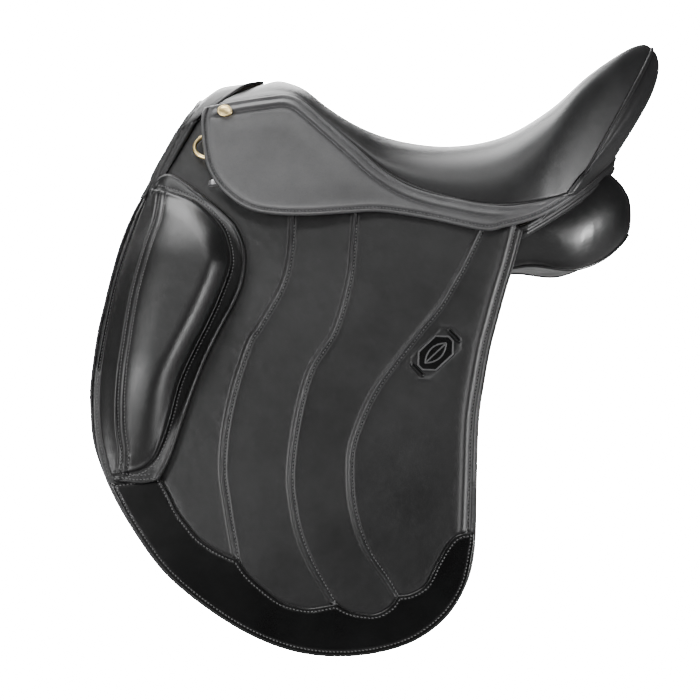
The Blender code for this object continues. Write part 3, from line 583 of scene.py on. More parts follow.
def woven(name, light, dark, pitch=1.3):
    """Plain woven linen web: threads over and under each other, coloured by their height so that painted shade
    darkens the dips between threads, with a random fluff tone on top.
    """
    paint = Paint(name)
    turns = math.pi / (pitch * MM)
    ways = [paint.node("ShaderNodeSeparateXYZ", axis, {"Vector": paint.coords}) for axis in "XY"]
    warp, weft = (paint.maths("SINE", paint.maths("MULTIPLY", way, turns)) for way in ways)
    over = paint.maths("ABSOLUTE", paint.maths("MULTIPLY", warp, weft))
    fluff = paint.noise(1400.0, 3.0)
    height = paint.total((over, 0.8), (fluff, 0.4))
    # colour from the weave's height: painted shade where the threads dip, plus random fluff tone
    paint.surface(Base_Color=paint.ramp(height, (0.1, dark), (0.8, light)),
                  Roughness=paint.span(fluff, 0.2, 0.8, 0.78, 0.95))
    paint.bumped(height, 0.6, 0.0004)
    return paint.made


def foamed(name):
    """Open-cell foam, pale, with small pits."""
    paint = Paint(name)
    pits = paint.node("ShaderNodeTexVoronoi", "Distance", {"Vector": paint.coords, "Scale": 700.0})
    tone = paint.noise(22.0, 4.0)
    paint.surface(Base_Color=paint.ramp(tone, (0.3, (0.66, 0.6, 0.46)), (0.75, (0.82, 0.77, 0.64))),
                  Roughness=paint.span(tone, 0.3, 0.8, 0.85, 0.97))
    paint.bumped(pits, 0.5, 0.0005)
    return paint.made


def waxed_thread(name, colour):
    """Twisted thread, with painted shade darkening it between its strands."""
    paint = Paint(name)
    twist = paint.node("ShaderNodeTexWave", "Fac", {"Vector": paint.coords, "Scale": 900.0, "Distortion": 3.0},
                       bands_direction="DIAGONAL")
    # half the thread's colour between the strands: painted shade
    paint.surface(Base_Color=paint.ramp(twist, (0.0, tuple(c * 0.5 for c in colour)), (0.8, colour)),
                  Roughness=paint.span(twist, 0.0, 1.0, 0.42, 0.6))
    paint.bumped(twist, 0.4, 0.0002)
    return paint.made


# Leathers: name, darkest and lightest dye, roughness, depth and scale of the grain, weight and roughness of the
# coat, and depth of the creases where it is not the usual one. The skirt's and the block's dyes also carry
# painted light and painted shade, as noted at each.
LEATHERS = {
    "seat": ("seat_leather", (0.009, 0.009, 0.0093), (0.018, 0.018, 0.0187), 0.38, 0.75, 950.0, 0.1, 0.3, 0.6),
    "flap": ("flap_leather", (0.007, 0.007, 0.0072), (0.016, 0.016, 0.0164), 0.41, 1.0, 1150.0, 0.08, 0.3),
    # skirt: several times lighter than the flap, partly a greyer leather and partly painted light for the
    # skirt's upward tilt
    "skirt": ("skirt_leather", (0.054, 0.054, 0.055), (0.094, 0.094, 0.096), 0.46, 1.0, 1100.0, 0.08, 0.35),
    # block: darker than the flap, painted shade for the block's steep face
    "block": ("block_leather", (0.0028, 0.0028, 0.003), (0.0065, 0.0065, 0.0067), 0.42, 0.9, 900.0, 0.04, 0.3),
    "panel": ("panel_leather", (0.003, 0.003, 0.0032), (0.007, 0.007, 0.0073), 0.32, 0.7, 900.0, 0.4, 0.24),
    "trim": ("patent_trim", (0.001, 0.001, 0.0011), (0.002, 0.002, 0.0021), 0.26, 0.3, 1300.0, 0.12, 0.16, 0.1),
    "strap": ("strap_leather", (0.014, 0.012, 0.011), (0.03, 0.027, 0.025), 0.48, 1.2, 1000.0, 0.05, 0.35),
}
LOOKS = {look: leather(*values) for look, values in LEATHERS.items()}
LOOKS |= {
    "thread": waxed_thread("waxed_thread", (0.12, 0.12, 0.122)),
    "steel": metal("polished_steel", (0.8, 0.8, 0.81), 0.36, 0.4, (0.45, 0.45, 0.46)),
    "plate": metal("blackened_steel", (0.1, 0.1, 0.105), 0.42, 0.4, (0.05, 0.05, 0.05)),
    "brass": metal("polished_brass", (0.88, 0.68, 0.32), 0.33, 0.2, (0.7, 0.52, 0.26)),
    "wood": timber("laminated_beech"),
    # the web's darker colour is the painted shade in the dips of its weave
    "web": woven("linen_web", (0.72, 0.66, 0.52), (0.34, 0.29, 0.2)),
    "foam": foamed("seat_foam"),
}

MERGE_M, FLAT_ANGLE, EDGE_ANGLE = 0.00002, math.radians(3), math.radians(28)


def softened(node, look, width, body):
    """A CAD node's own shape with rounded edges, in its place."""
    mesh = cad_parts[node].data.copy()
    mesh.materials.clear()
    piece = add_object(node + "_finish", mesh)
    bm = bmesh.new()
    bm.from_mesh(mesh)
    bmesh.ops.remove_doubles(bm, verts=bm.verts, dist=MERGE_M)
    bmesh.ops.dissolve_limit(bm, angle_limit=FLAT_ANGLE, verts=bm.verts, edges=bm.edges)
    bm.to_mesh(mesh)
    bm.free()
    step = piece.modifiers.new("rounding", "BEVEL")
    step.width = width * MM
    step.segments = 3
    step.limit_method = "ANGLE"
    step.angle_limit = EDGE_ANGLE
    mesh.shade_smooth()
    mesh.materials.append(LOOKS[look])
    placed(piece, body, node)
    return piece


# ---------------------------------------------------------------- flap, trim and sweat flap

FLAP_RUNS = [[(-257, 96), (-267, 74), (-276, 53), (-293, -2), (-304, -60), (-310, -109), (-307, -158),
              (-295, -200), (-267, -248), (-230, -293), (-171, -335), (-116, -358), (-62, -363),
              (-10, -353), (26, -331), (48, -300), (58, -263), (60.5, -198), (63, -142), (69, -103),
              (75, -72), (82, -46), (89, -21), (98, 8), (107, 40)],
             [(107, 40), (92, 52), (68, 56), (19, 66), (-30, 84), (-80, 122), (-125, 150), (-160, 158),
              (-205, 163)],
             [(-205, 163), (-220, 149), (-238, 122), (-257, 96)]]
SEAMS = [[(-116, 60), (-117, 23), (-125, -12), (-147, -52), (-157, -68), (-171, -112), (-179, -153),
          (-181, -190), (-177, -219), (-172, -247), (-166, -279)],
         [(-54, 60), (-56, 30), (-60, -7), (-74, -56), (-97, -94), (-110, -142), (-116, -192), (-113, -225),
          (-107, -251), (-96, -277), (-84, -298), (-72, -318)],
         [(70, 46), (64, 34), (52, 9), (39, -14), (26, -35), (7, -58), (-22, -95), (-37, -117), (-49, -142),
          (-58, -170), (-59, -199), (-57, -222), (-51, -246), (-41, -268), (-27, -288), (-13, -311)]]
TRIM_TOPS = [[(-243, -196), (-234, -211), (-225, -228), (-215, -241), (-203, -254), (-184, -266), (-167, -273)],
             [(-167, -273), (-157, -287), (-141, -301), (-125, -312), (-108, -317), (-95, -318), (-73, -314)],
             [(-73, -314), (-62, -320), (-48, -323), (-35, -323), (-22, -316), (-15, -306)],
             [(-15, -306), (-2, -304), (12, -295), (22, -276), (33, -258), (43, -249), (57.5, -247)]]
TRIM_LOW = [(57.5, -247), (56, -263), (47, -299), (25, -329.5), (-10, -351.5), (-62, -361.5),
            (-115, -356.5), (-170, -333.5), (-228, -291.5), (-265, -246.5), (-291, -203)]
REAR_EDGE = [(110, 52), (98, 8), (89, -21), (82, -46), (75, -72), (69, -103), (63, -142), (60.5, -198),
             (58.5, -247)]
EMBLEM_AT, EMBLEM_TURN = (22.0, -78.0), math.radians(43)
EMBLEM_HALF, EMBLEM_CUT = (27.0, 12.5), 7.0
PLATE_HALF, PLATE_CUT = (20.0, 12.0), 9.0
LEAF_HALF, VEIN_HALF, BAR_AT, BAR_HALF = (14.0, 6.0), 12.0, 24.0, 8.0
SEAM_BEADS = ((2.5, -1.9, 1.7), (-1.0, 1.3, 0.9), (0.4, 3.6, 1.5))
REAR_BEADS = ((2.6, -13.0, 3.6), (-1.3, -7.5, 1.1), (1.0, -4.6, 1.2), (-0.5, -2.2, 0.8))
FRONT_BEADS = ((1.4, 1.9, 1.1), (-1.2, 4.2, 0.9), (1.2, 6.6, 1.3))
SEAM_ROWS = (-6.2, -4.8, -3.8, -3.0, -2.3, -1.7, -1.0, -0.3, 0.5, 1.3, 2.1, 3.2, 4.6, 6.0)
REAR_ROWS = (-18.0, -15.8, -14.2, -12.8, -11.2, -9.6, -8.3, -7.5, -6.6, -5.6, -4.6, -3.4, -2.2)
FRONT_ROWS = (1.9, 2.9, 3.6, 4.2, 5.0, 6.4, 8.0, 9.4)
UNDER_TRIM_ROWS = (-1.2, -0.3, 0.5, 1.5, 3.0)
TRIM_ROWS = (-7.5, -6.0, -5.0, -4.2, -3.4, -2.6)
TRIM_THICK = 1.7


def emblem_point(a, b):
    c, s = math.cos(EMBLEM_TURN), math.sin(EMBLEM_TURN)
    return EMBLEM_AT[0] + a * c - b * s, EMBLEM_AT[1] + a * s + b * c


def emblem_relief(points):
    """A shallow pressed field for the emblem, deepest at its border."""
    rel = points - np.array(EMBLEM_AT)
    c, s = math.cos(EMBLEM_TURN), math.sin(EMBLEM_TURN)
    a = np.abs(rel[:, 0] * c + rel[:, 1] * s) - EMBLEM_HALF[0]
    b = np.abs(-rel[:, 0] * s + rel[:, 1] * c) - EMBLEM_HALF[1]
    out = np.maximum(np.maximum(a, b), (a + b + EMBLEM_CUT) * 0.7)
    return -1.1 * (1 - ease((out + 0.8) / 2.0)) + beads(out, ((0.5, 2.4, 1.0),))


def make_emblem(side, word):
    """A plain chamfered plate pressed into the flap, with a raised rim and a leaf and two bars on it. A
    near-black sheet in the pressed field is painted shade, and the rim and leaf take the lighter skirt leather
    as a painted highlight.
    """
    (wide, high), cut = PLATE_HALF, PLATE_CUT
    corner = [(-wide, cut - high), (-wide, high - cut), (cut - wide, high), (wide - cut, high),
              (wide, high - cut), (wide, cut - high), (wide - cut, -high), (cut - wide, -high),
              (-wide, cut - high)]
    turn = np.linspace(-1, 1, 25)
    veins = [[(t * LEAF_HALF[0], k * LEAF_HALF[1] * (1 - t * t)) for t in turn] for k in (-1, 1)]
    veins.append([(-VEIN_HALF, 0.0), (VEIN_HALF, 0.0)])
    rim = np.concatenate([np.linspace(p, q, 10)[:-1] for p, q in zip(corner, corner[1:])])
    field = np.array([emblem_point(a, b) for a, b in rim])

    def cord(name, flat, lift, radius, look):
        line = on_face(np.array([emblem_point(a, b) for a, b in flat]), side, flap_half, lift)
        placed(tube(f"emblem_{name}_{word}", line, radius, look, 8), f"flap_{word}")

    def sunk(x, z):
        return flap_half(x, z) - 0.5

    # a near-black patent sheet laid in the pressed field: painted shade
    plate = sheet(f"emblem_field_{word}", side, field, sunk, 0.5, "trim", 4.0, 0.4)
    placed(plate, f"flap_{word}")
    # rim and leaf in the lighter skirt leather: painted highlight on the raised lines
    cord("rim", np.concatenate([rim, rim[:1]]), -0.2, 0.9, "skirt")
    for k, flat in enumerate(veins):
        cord(f"leaf_{k}", curve_points(flat, 1.5), -0.3, 0.75, "skirt")
    for k in (0, 1):
        x = (2 * k - 1) * BAR_AT
        cord(f"bar_{k}", curve_points([(x, -BAR_HALF), (x, BAR_HALF)], 1.5), -1.0, 2.0, "trim")


def make_flap(side, word):
    seams = [curve_points(seam, 2.6) for seam in SEAMS]
    rear, front = curve_points(REAR_EDGE, 3.0), curve_points(FLAP_RUNS[0][:8], 3.0)
    rear_groove, front_groove = beside(rear, -7.5), beside(front, 4.0)
    top_of_trim = outline_of(TRIM_TOPS, 2.0)

    def relief(points, dist):
        rise = sum(beads(signed(points, line), SEAM_BEADS) for line in seams)
        rise = rise + beads(signed(points, rear), REAR_BEADS) + beads(signed(points, front), FRONT_BEADS)
        under = signed(points, top_of_trim)
        rise = rise * ease((under + 1.5) / 3.0) + beads(under, ((-0.8, 0.4, 1.1),))
        return (rise + emblem_relief(points)) * ease(dist / 2.5)

    core = np.array([emblem_point(a, 0) for a in np.linspace(-31, 31, 32)])
    lines = [(seam, SEAM_ROWS) for seam in seams]
    lines += [(rear, REAR_ROWS), (front, FRONT_ROWS), (top_of_trim, UNDER_TRIM_ROWS),
              (core, tuple(np.arange(-15.0, 15.1, 1.2)))]
    piece = sheet(f"flap_skin_{word}", side, outline_of(FLAP_RUNS, 3.0), flap_half, FLAP_THICK, "flap", 7.0,
                  1.6, relief, lines)
    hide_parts(f"flap_{word}", f"flap_top_{word}")
    shown = [(beside(seam[seam[:, 1] < 52], 1.3), -0.4) for seam in seams]
    shown += [(rear_groove[rear_groove[:, 1] < 46], -0.6), (front_groove[front_groove[:, 1] < 90], -0.4)]
    for folded in (piece, sewn(f"flap_stitching_{word}", side, flap_half, shown)):
        cross_fold(folded, side, FLAP_FOLD, flap_half)
    make_emblem(side, word)
    make_trim(side, word)


def make_trim(side, word):
    """The patent border on the lower flap, with a row of stitches inside each of its edges."""
    end = [TRIM_LOW[-1], TRIM_TOPS[0][0]]
    edges = [curve_points(run, 2.0) for run in [*TRIM_TOPS, end]] + [curve_points(TRIM_LOW, 2.5)]

    def face(x, z):
        return flap_half(x, z) + GAP + TRIM_THICK

    def relief(points, dist):
        return beads(dist, ((-0.5, 3.4, 0.8),)) * ease(dist / 1.5)

    piece = sheet(f"flap_border_{word}", side, outline_of([*TRIM_TOPS, TRIM_LOW, end], 2.2), face, TRIM_THICK,
                  "trim", 6.5, 1.1, relief, [(line, TRIM_ROWS) for line in edges], back_edge=0.3)
    placed(piece, f"flap_{word}", f"flap_trim_{word}")
    rows = [(beside(line, -3.4), -0.1) for line in edges]
    placed(sewn(f"border_stitching_{word}", side, face, rows), f"flap_{word}")


SWEAT_RUNS = [[(-260, 92), (-272, 75), (-282, 54), (-291, 29), (-299, -2), (-305, -30), (-311, -60),
               (-316, -109), (-315, -134), (-312, -160), (-305, -183), (-292, -208), (-262, -238),
               (-226, -272), (-168, -311), (-110, -332), (-60, -338), (-15, -328), (15, -306), (33, -275),
               (40, -225), (44, -150), (56, -80), (68, -25), (80, 30)],
              [(80, 30), (40, 44), (-20, 56), (-90, 58), (-165, 54), (-225, 54)],
              [(-225, 54), (-260, 92)]]
SWEAT_BEADS = ((1.3, 1.8, 1.1), (-0.8, 4.6, 1.0), (0.4, 8.5, 1.6))
SWEAT_ROWS = (1.8, 2.8, 3.8, 4.6, 5.5, 6.6, 8.6, 10.4)


def make_sweat_flap(side, word):
    edge = curve_points(SWEAT_RUNS[0], 3.0)

    def relief(points, dist):
        return beads(dist, SWEAT_BEADS) * ease(dist / 1.2)

    piece = sheet(f"sweat_flap_skin_{word}", side, outline_of(SWEAT_RUNS, 3.5), sweat_half, SWEAT_THICK, "flap",
                  9.0, 1.5, relief, [(edge, SWEAT_ROWS)], back_edge=1.2)
    placed(piece, "saddle", f"sweat_flap_{word}")
    seams = [(on_face(beside(edge, 5.5), side, sweat_half, lift), (0, out, 0))
             for lift, out in ((-0.3, side), (0.1 - SWEAT_THICK, -side))]
    placed(stitches(f"sweat_flap_stitching_{word}", seams), "saddle")


# ---------------------------------------------------------------- knee block

BLOCK_REAR = [(-260, 84), (-253, 97), (-240, 101), (-222, 91), (-202, 76), (-183, 60), (-170, 45),
              (-162, 22), (-164, -6), (-172, -28), (-182, -47), (-193, -69), (-204, -94), (-217, -131),
              (-232, -177), (-243, -200)]
BLOCK_LOW = [(-243, -200), (-262, -203), (-288, -200)]
BLOCK_FRONT = [(-288, -200), (-300, -156), (-303, -109), (-298, -61), (-288, -4), (-272, 50), (-260, 84)]
BLOCK_BAND = [(-257, 86), (-245, 84), (-215, 73), (-196, 57), (-184, 40), (-178, 18), (-179, 2),
              (-189, -26), (-200, -51), (-212, -75), (-225, -105), (-234, -140), (-241, -163), (-249, -180),
              (-262, -190), (-289, -196)]
BLOCK_SEAM = [(-249, 82), (-252, 55), (-259, 32), (-265, 10), (-271, -15), (-275, -40), (-278, -65),
              (-281, -90), (-283, -124), (-282, -153), (-279, -173), (-280, -193)]
BAND_HIGH, CROWN_HIGH = 4.5, 35.0
CROWN_TOP, CROWN_LOW = (112, 100), (-225, 150)
BODY_ROUND, NOSE_ROUND = (23, 0.7), (54, 0.82)
BAND_BEADS = ((1.3, 2.4, 1.7), (-1.6, -0.4, 1.2))
BLOCK_EDGE_BEADS = ((2.2, 2.6, 1.6),)
BLOCK_SEAM_BEADS = ((1.9, -3.4, 1.9), (-1.2, 0.0, 0.9), (0.9, 3.2, 1.4), (-1.3, 6.5, 0.9))
BAND_ROWS = (-16.0, -12.5, -9.5, -7.5, -5.8, -4.4, -3.2, -2.2, -1.2, -0.2, 0.8, 1.8, 3.4)
BLOCK_SEAM_ROWS = (-5.4, -4.2, -3.2, -2.0, -0.8, 0.0, 0.8, 2.6, 4.6, 5.8, 6.5, 7.2)
band_line = curve_points(BLOCK_BAND, 2.5)
block_front_line = curve_points(BLOCK_FRONT, 3.0)
block_seam_line = curve_points(BLOCK_SEAM, 2.5)


def shoulder(distance, rule):
    """A round shoulder that rises from 0 at an edge to 1 at a reach from it."""
    reach, power = rule
    return (1 - (1 - np.minimum(1, distance / reach)) ** 2) ** power


def block_rise(x, z):
    """How far the block stands off the flap: a low band behind and below, and a crowned body."""
    points = np.stack([np.atleast_1d(x), np.atleast_1d(z)], 1).astype(float)
    inner = np.maximum(0.0, -signed(points, band_line))
    front, _ = distance_to(points, block_front_line)
    (top, top_run), (low, low_run) = CROWN_TOP, CROWN_LOW
    along = ease((top - points[:, 1]) / top_run) * ease((points[:, 1] - low) / low_run)
    return BAND_HIGH + CROWN_HIGH * along * shoulder(inner, BODY_ROUND) * shoulder(front, NOSE_ROUND)


def block_face(x, z):
    return flap_half(x, z) + GAP + block_rise(x, z)


def make_block(side, word):
    rear, low = curve_points(BLOCK_REAR, 2.5), curve_points(BLOCK_LOW, 2.5)

    def relief(points, dist):
        rise = beads(-signed(points, band_line), BAND_BEADS)
        rise = rise + beads(distance_to(points, rear)[0], BLOCK_EDGE_BEADS)
        rise = rise + beads(signed(points, block_seam_line), BLOCK_SEAM_BEADS)
        return rise * ease(dist / 1.8)

    lines = [(band_line, BAND_ROWS), (rear, (-1.6, -2.4, -3.2, -4.2, -5.4)), (block_seam_line, BLOCK_SEAM_ROWS),
             (low, (-3.0, -6.0, -9.0))]
    outline = outline_of([BLOCK_REAR, BLOCK_LOW, BLOCK_FRONT], 2.6)
    piece = sheet(f"knee_block_skin_{word}", side, outline, block_face, block_rise, "block", 5.0, 1.4, relief,
                  lines)
    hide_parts(f"knee_block_{word}", f"knee_block_tip_{word}")
    rows = [(beside(band_line, 3.6), 0.15), (block_seam_line, -0.6), (beside(block_seam_line, 6.5), -0.7),
            (beside(low, -3.6), 0.15), (beside(low, -8.0)[2:-1], 0.15)]
    thread = sewn(f"knee_block_stitching_{word}", side, block_face, rows, surface_out(block_face, side))
    for folded in (piece, thread):
        cross_fold(folded, side, FLAP_FOLD, flap_half)


# ---------------------------------------------------------------- skirt

SKIRT_LOW = [(-206, 168), (-209, 152), (-204, 115), (-194, 92), (-177, 74), (-157, 62), (-132, 57),
             (-101, 56), (-64, 58), (-30, 59), (19, 51), (68, 40), (89, 43), (112, 49), (129, 56),
             (146, 66), (160, 75.5)]
SKIRT_TOP = [(160, 75.5), (140, 73), (121, 68), (93, 64), (68, 66), (44, 71), (19, 77), (-5, 86),
             (-30, 102), (-55, 125), (-80, 148), (-101, 167), (-112, 175), (-125, 179), (-141, 178),
             (-166, 175), (-186, 172), (-206, 168)]
SKIRT_EDGE_BEADS = ((1.7, 1.8, 1.2), (-1.7, 4.6, 1.0), (1.3, 7.2, 1.3))
CREST_BAND, CREST_BEADS = (1.4, 8.5, 2.5), ((1.4, 8.5, 1.3), (-2.3, 12.0, 1.2), (-2.2, 3.6, 1.1))
SKIRT_LOW_ROWS = (1.8, 2.9, 3.8, 4.6, 5.4, 6.2, 7.2, 8.4, 10.0)
SKIRT_TOP_ROWS = (2.4, 3.6, 4.8, 6.6, 7.8, 8.8, 9.8, 10.9, 12.0, 13.2, 14.8)


def make_skirt(side, word):
    low, top = curve_points(SKIRT_LOW, 2.2), curve_points(SKIRT_TOP, 2.5)

    def relief(points, dist):
        edge, _ = distance_to(points, low)
        crest, _ = distance_to(points, top)
        high, reach, run = CREST_BAND
        band = high * (1 - ease((crest - reach) / run)) + beads(crest, CREST_BEADS)
        rise = beads(edge, SKIRT_EDGE_BEADS) + ease((edge - 7) / 8) * band
        rise = rise + 1.8 * ease((edge - 9) / 22) * ease((crest - 13) / 20)
        return rise * ease(dist / 1.6)

    lines = [(low, SKIRT_LOW_ROWS), (top, SKIRT_TOP_ROWS)]
    piece = sheet(f"skirt_skin_{word}", side, outline_of([SKIRT_LOW, SKIRT_TOP], 2.6), skirt_half, SKIRT_THICK,
                  "skirt", 5.5, 1.5, relief, lines)
    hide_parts(f"skirt_{word}", f"skirt_lobe_{word}")
    rows = [(beside(low, 4.6)[2:-7], -1.1)]
    thread = sewn(f"skirt_stitching_{word}", side, skirt_half, rows, surface_out(skirt_half, side))
    for folded in (piece, thread):
        cross_fold(folded, side, SKIRT_FOLD, skirt_half)


# ---------------------------------------------------------------- seat and cantle

# Seat sections from pommel to cantle: x at the middle and at the edge, half-width, edge height, middle
# height, flatness of the crown, sharpness of the roll, and depth of the dish.
SEAT = [(-147, -190, 63, 172, 197, 2.2, 0.7, 0), (-134, -160, 71, 176, 201, 2.2, 0.7, 0),
        (-120, -132, 79, 179, 198, 2.2, 0.65, 0), (-104, -110, 87, 174, 190, 2.3, 0.6, 0),
        (-82, -84, 102, 151, 172, 2.4, 0.55, 0), (-56, -56, 115, 126, 155, 2.6, 0.5, 0),
        (-29, -29, 126, 102, 143, 2.9, 0.5, 0), (0, 0, 136, 85, 135.7, 3.3, 0.5, 1),
        (34, 32, 145, 74, 132.5, 3.9, 0.5, 3), (70, 66, 153, 66, 136, 4.5, 0.5, 5),
        (106, 95, 157, 65, 148, 4.8, 0.5, 7), (150, 121, 155, 68, 175.5, 4.5, 0.52, 8),
        (190, 138, 150, 72, 211, 3.9, 0.6, 7), (222, 149, 146, 76, 233, 3.2, 0.74, 3),
        (240, 155, 143, 78, 238, 2.7, 0.88, 0), (249, 158, 141, 80, 235, 2.4, 1.0, 0)]
COVER_THICK = 2.6
FOAM_TOP, FOAM_LOW = 4.2, 21.0
SEAT_FINE, SEAT_ACROSS = 7, 44
FOAM_FINE, FOAM_ACROSS = 4, 20


def between(rows, steps):
    """The rows of a table with others between them on smooth curves, as many as steps says for each."""
    shares = [np.linspace(0, 1, step, endpoint=False) for step in steps]
    return np.concatenate([catmull_rom(rows, i, t) for i, t in enumerate(shares)] + [rows[-1:]])


def seat_grid(depth, sections, across, fine=1):
    """The seat's surface lowered by a depth, on rows across it."""
    u = np.sin(math.pi / 2 * np.linspace(-1, 1, 2 * across + 1))
    wide = np.abs(u)
    rows = between(np.array(sections, float), [fine] * (len(sections) - 1))
    grid = []
    for xc, xe, half, edge, middle, flat, roll, dish in rows:
        rear, crest = ease((xc - 60) / 120), ease((xc - 195) / 27)
        x = xc + (xe - xc) * wide ** 2.5 - depth * (crest + (rear - crest) * wide ** 3)
        top = edge + (middle - edge) * (1 - wide ** flat) ** roll
        z = top - dish * (1 - wide ** 2) ** 2 - depth * (1 - 0.5 * rear * wide)
        grid.append(np.stack([x, (half - depth) * u, z], 1))
    return np.array(grid)


def arch(u, foot, rise, powers):
    """An arch across the saddle: x and z at its feet, what its top adds to them, and how square it is."""
    a = np.abs(u)
    (x, half, z), (ahead, up), (p, q) = foot, rise, powers
    return np.stack([x + ahead * (1 - a ** p), half * u, z + up * (1 - a ** q)], -1)


def rim_point(u):
    return arch(u, (158, 141, 80), (91, 155), (2.5, 2.4))


def hem_point(u):
    return arch(u, (113, 152, 42), (94, 81), (3.4, 2.8))


def outward_at(u, dip=0.7):
    return unit(np.stack([1.0 - dip * u * u, 0.9 * u, np.zeros_like(u)], -1))


def make_seat():
    grid = seat_grid(0, SEAT, SEAT_ACROSS, SEAT_FINE)
    piece = skin("seat_top", grid, "seat", COVER_THICK)
    placed(piece, "saddle", "seat_cover")
    top, low = (seat_grid(depth, SEAT[1:-1], FOAM_ACROSS, FOAM_FINE) for depth in (FOAM_TOP, FOAM_LOW))
    pad = closed_pad("seat_pad", top, low, "foam")
    placed(pad, "saddle", "seat_foam")
    for side, word in SIDES:
        edge = grid[:, 0 if side < 0 else -1]
        fine = curve_points(edge + np.array([0, side * 0.4, -0.4]), 2.5)
        placed(tube(f"seat_welt_{word}", fine, 2.1, "seat"), "saddle")


def make_cantle():
    """The swelled back of the cantle, from its hem up to its crest, with a welt on the crest."""
    u = np.sin(math.pi / 2 * np.linspace(-1, 1, 81)) * 0.985
    hem, rim, away = hem_point(u), rim_point(u), outward_at(u, 0.6)
    grid = []
    for v in np.linspace(0.02, 1.0, 26):
        full = 15.0 * math.sin(math.pi * v ** 1.5) ** 0.7 * (1 - u * u) ** 0.8
        swell = full + 3.2 * (1 - max(0.0, (v - 0.8) / 0.2) ** 2)
        grid.append(hem + (rim - hem) * v + away * swell[:, None])
    piece = skin("cantle_back", np.array(grid).transpose(1, 0, 2), "seat", COVER_THICK)
    placed(piece, "saddle", "cantle_cover")
    crest = curve_points(rim + away * 0.4 + np.array([0, 0, -0.6]), 2.5)
    share = np.abs(np.linspace(-1, 1, len(crest)))
    placed(tube("cantle_welt", crest, 1.0 + 1.5 * np.sin(math.pi * share ** 0.8), "seat"), "saddle")


HEM_ENDS = (-2.5, 0, 4.0)
TAIL_END, TAIL_STEPS = (-26.0, -2.0, -9.0), 9
FACING_LIPS = ((1.5, 0.1, 0.08), (1.5, 0.88, 0.09))


def make_rear_facing():
    """Narrow strip along the cantle's hem and on under the skirts, with raised lips and two seams."""
    u = np.sin(math.pi / 2 * np.linspace(-1, 1, 121))
    top, away = hem_point(u) + (u ** 6)[:, None] * np.array(HEM_ENDS), outward_at(u)
    tail = np.linspace(0, 1, TAIL_STEPS + 1)[1:, None] * np.array(TAIL_END)
    top = np.concatenate([(top[0] + tail * np.array([1, -1, 1]))[::-1], top, top[-1] + tail])
    away = np.pad(away, ((TAIL_STEPS, TAIL_STEPS), (0, 0)), mode="edge")
    middle = np.pad(1 - u * u, TAIL_STEPS)[:, None]
    low = top + np.array([-1.0, 0, -9.0]) + away * 2.0 - middle * np.array([2.5, 0, 5.0])
    top = top + away * (2.2 - 1.8 * middle) + np.array([0, 0, -0.4])
    grid = []
    for w in np.linspace(0, 1, 22):
        ends = 1.2 * (1 - math.sin(math.pi * w) ** 0.3)
        grid.append(top + (low - top) * w + away * (beads(w, FACING_LIPS) - ends + 0.6))
    piece = skin("rear_facing_strip", np.array(grid).transpose(1, 0, 2), "flap", 2.2)
    placed(piece, "saddle", "rear_facing")
    seams = [(top + (low - top) * w + away * 0.75, away_rule) for w in (0.32, 0.68)]
    placed(stitches("rear_facing_stitching", seams), "saddle")
    path = curve_points(low + away * 0.2 + np.array([0, 0, -1.4]), 2.5)
    placed(tube("rear_facing_cord", path, 1.5, "flap", 8), "saddle")


def away_rule(middle):
    return outward_at(np.clip(middle[:, 1] / 152.0, -1, 1))


# ---------------------------------------------------------------- pommel facing

FACING_SIDE = [(-267.5, 74), (-262.5, 84), (-258, 94), (-255.5, 101), (-245, 121), (-234, 141),
               (-224.5, 155)]
FACING_TIP = (3.0, 8.0, 11.5)
FACING_TOP = [(42, -217, 166), (22, -216, 173), (0, -215, 175)]
FACING_WIDE, HEAD_FINE = 13.0, 30
FACING_BEADS = ((1.7, 1.7, 1.1), (-1.3, 4.2, 0.9), (1.6, 6.6, 1.1), (-1.2, 9.0, 0.9))


def facing_stations():
    """Front, middle and back of the facing at each station from the left tip over the head to the right."""
    first = seat_grid(0, SEAT[:1], HEAD_FINE)[0]
    half = []
    for k, (x, z) in enumerate(FACING_SIDE):
        wide = FACING_TIP[k] if k < len(FACING_TIP) else FACING_WIDE
        front = np.array([x, flap_half(x, z), z])
        back = np.array([x + wide, flap_half(x + wide, z + 3), z + 3])
        half.append([front, (front + back) / 2 + np.array([0, 1.0, 0]), back])
    for h, x, z in FACING_TOP:
        front = np.array([x, h, z], float)
        at = np.interp(h * 1.15, first[HEAD_FINE:, 1], np.arange(HEAD_FINE + 1))
        edge = at_run(first[HEAD_FINE:], np.arange(HEAD_FINE + 1), [at])[0]
        back = edge + np.array([-2.0, 0, 1.0])
        half.append([front, front + (back - front) * 0.35 + np.array([0, 0, 10.0 - 0.1 * h]), back])
    half = np.array(half)
    return np.concatenate([half * np.array([1, -1, 1]), half[-2::-1]])


def make_pommel_facing():
    """Leather folded over the head: wide on top, with a narrow banded strip down both fronts."""
    stations = facing_stations()
    lines = [curve_points(stations[:, k], 2.6) for k in range(3)]
    count = min(len(line) for line in lines)
    at = np.linspace(0, 1, count)
    front, middle, back = (at_run(line, np.linspace(0, 1, len(line)), at) for line in lines)
    shares = np.linspace(0, 1, 30)
    grid = np.array([front + (middle - front) * min(1, 2 * w) + (back - middle) * max(0, 2 * w - 1)
                     for w in shares])
    grid = smoothed(grid, 6).transpose(1, 0, 2)
    normal = grid_normals(grid)
    if normal[count // 2, 15, 2] < 0:
        normal = -normal
    width = np.linalg.norm(grid[:, -1] - grid[:, 0], axis=1)[:, None]
    reach = shares[None] * width
    lift = beads(reach, FACING_BEADS) + beads(width - reach, ((0.9, 1.8, 1.4),)) * ease((width - 14) / 10)
    placed(skin("pommel_strip", grid + normal * lift[..., None], "flap", 2.8), "saddle", "pommel_facing")


# ---------------------------------------------------------------- panels

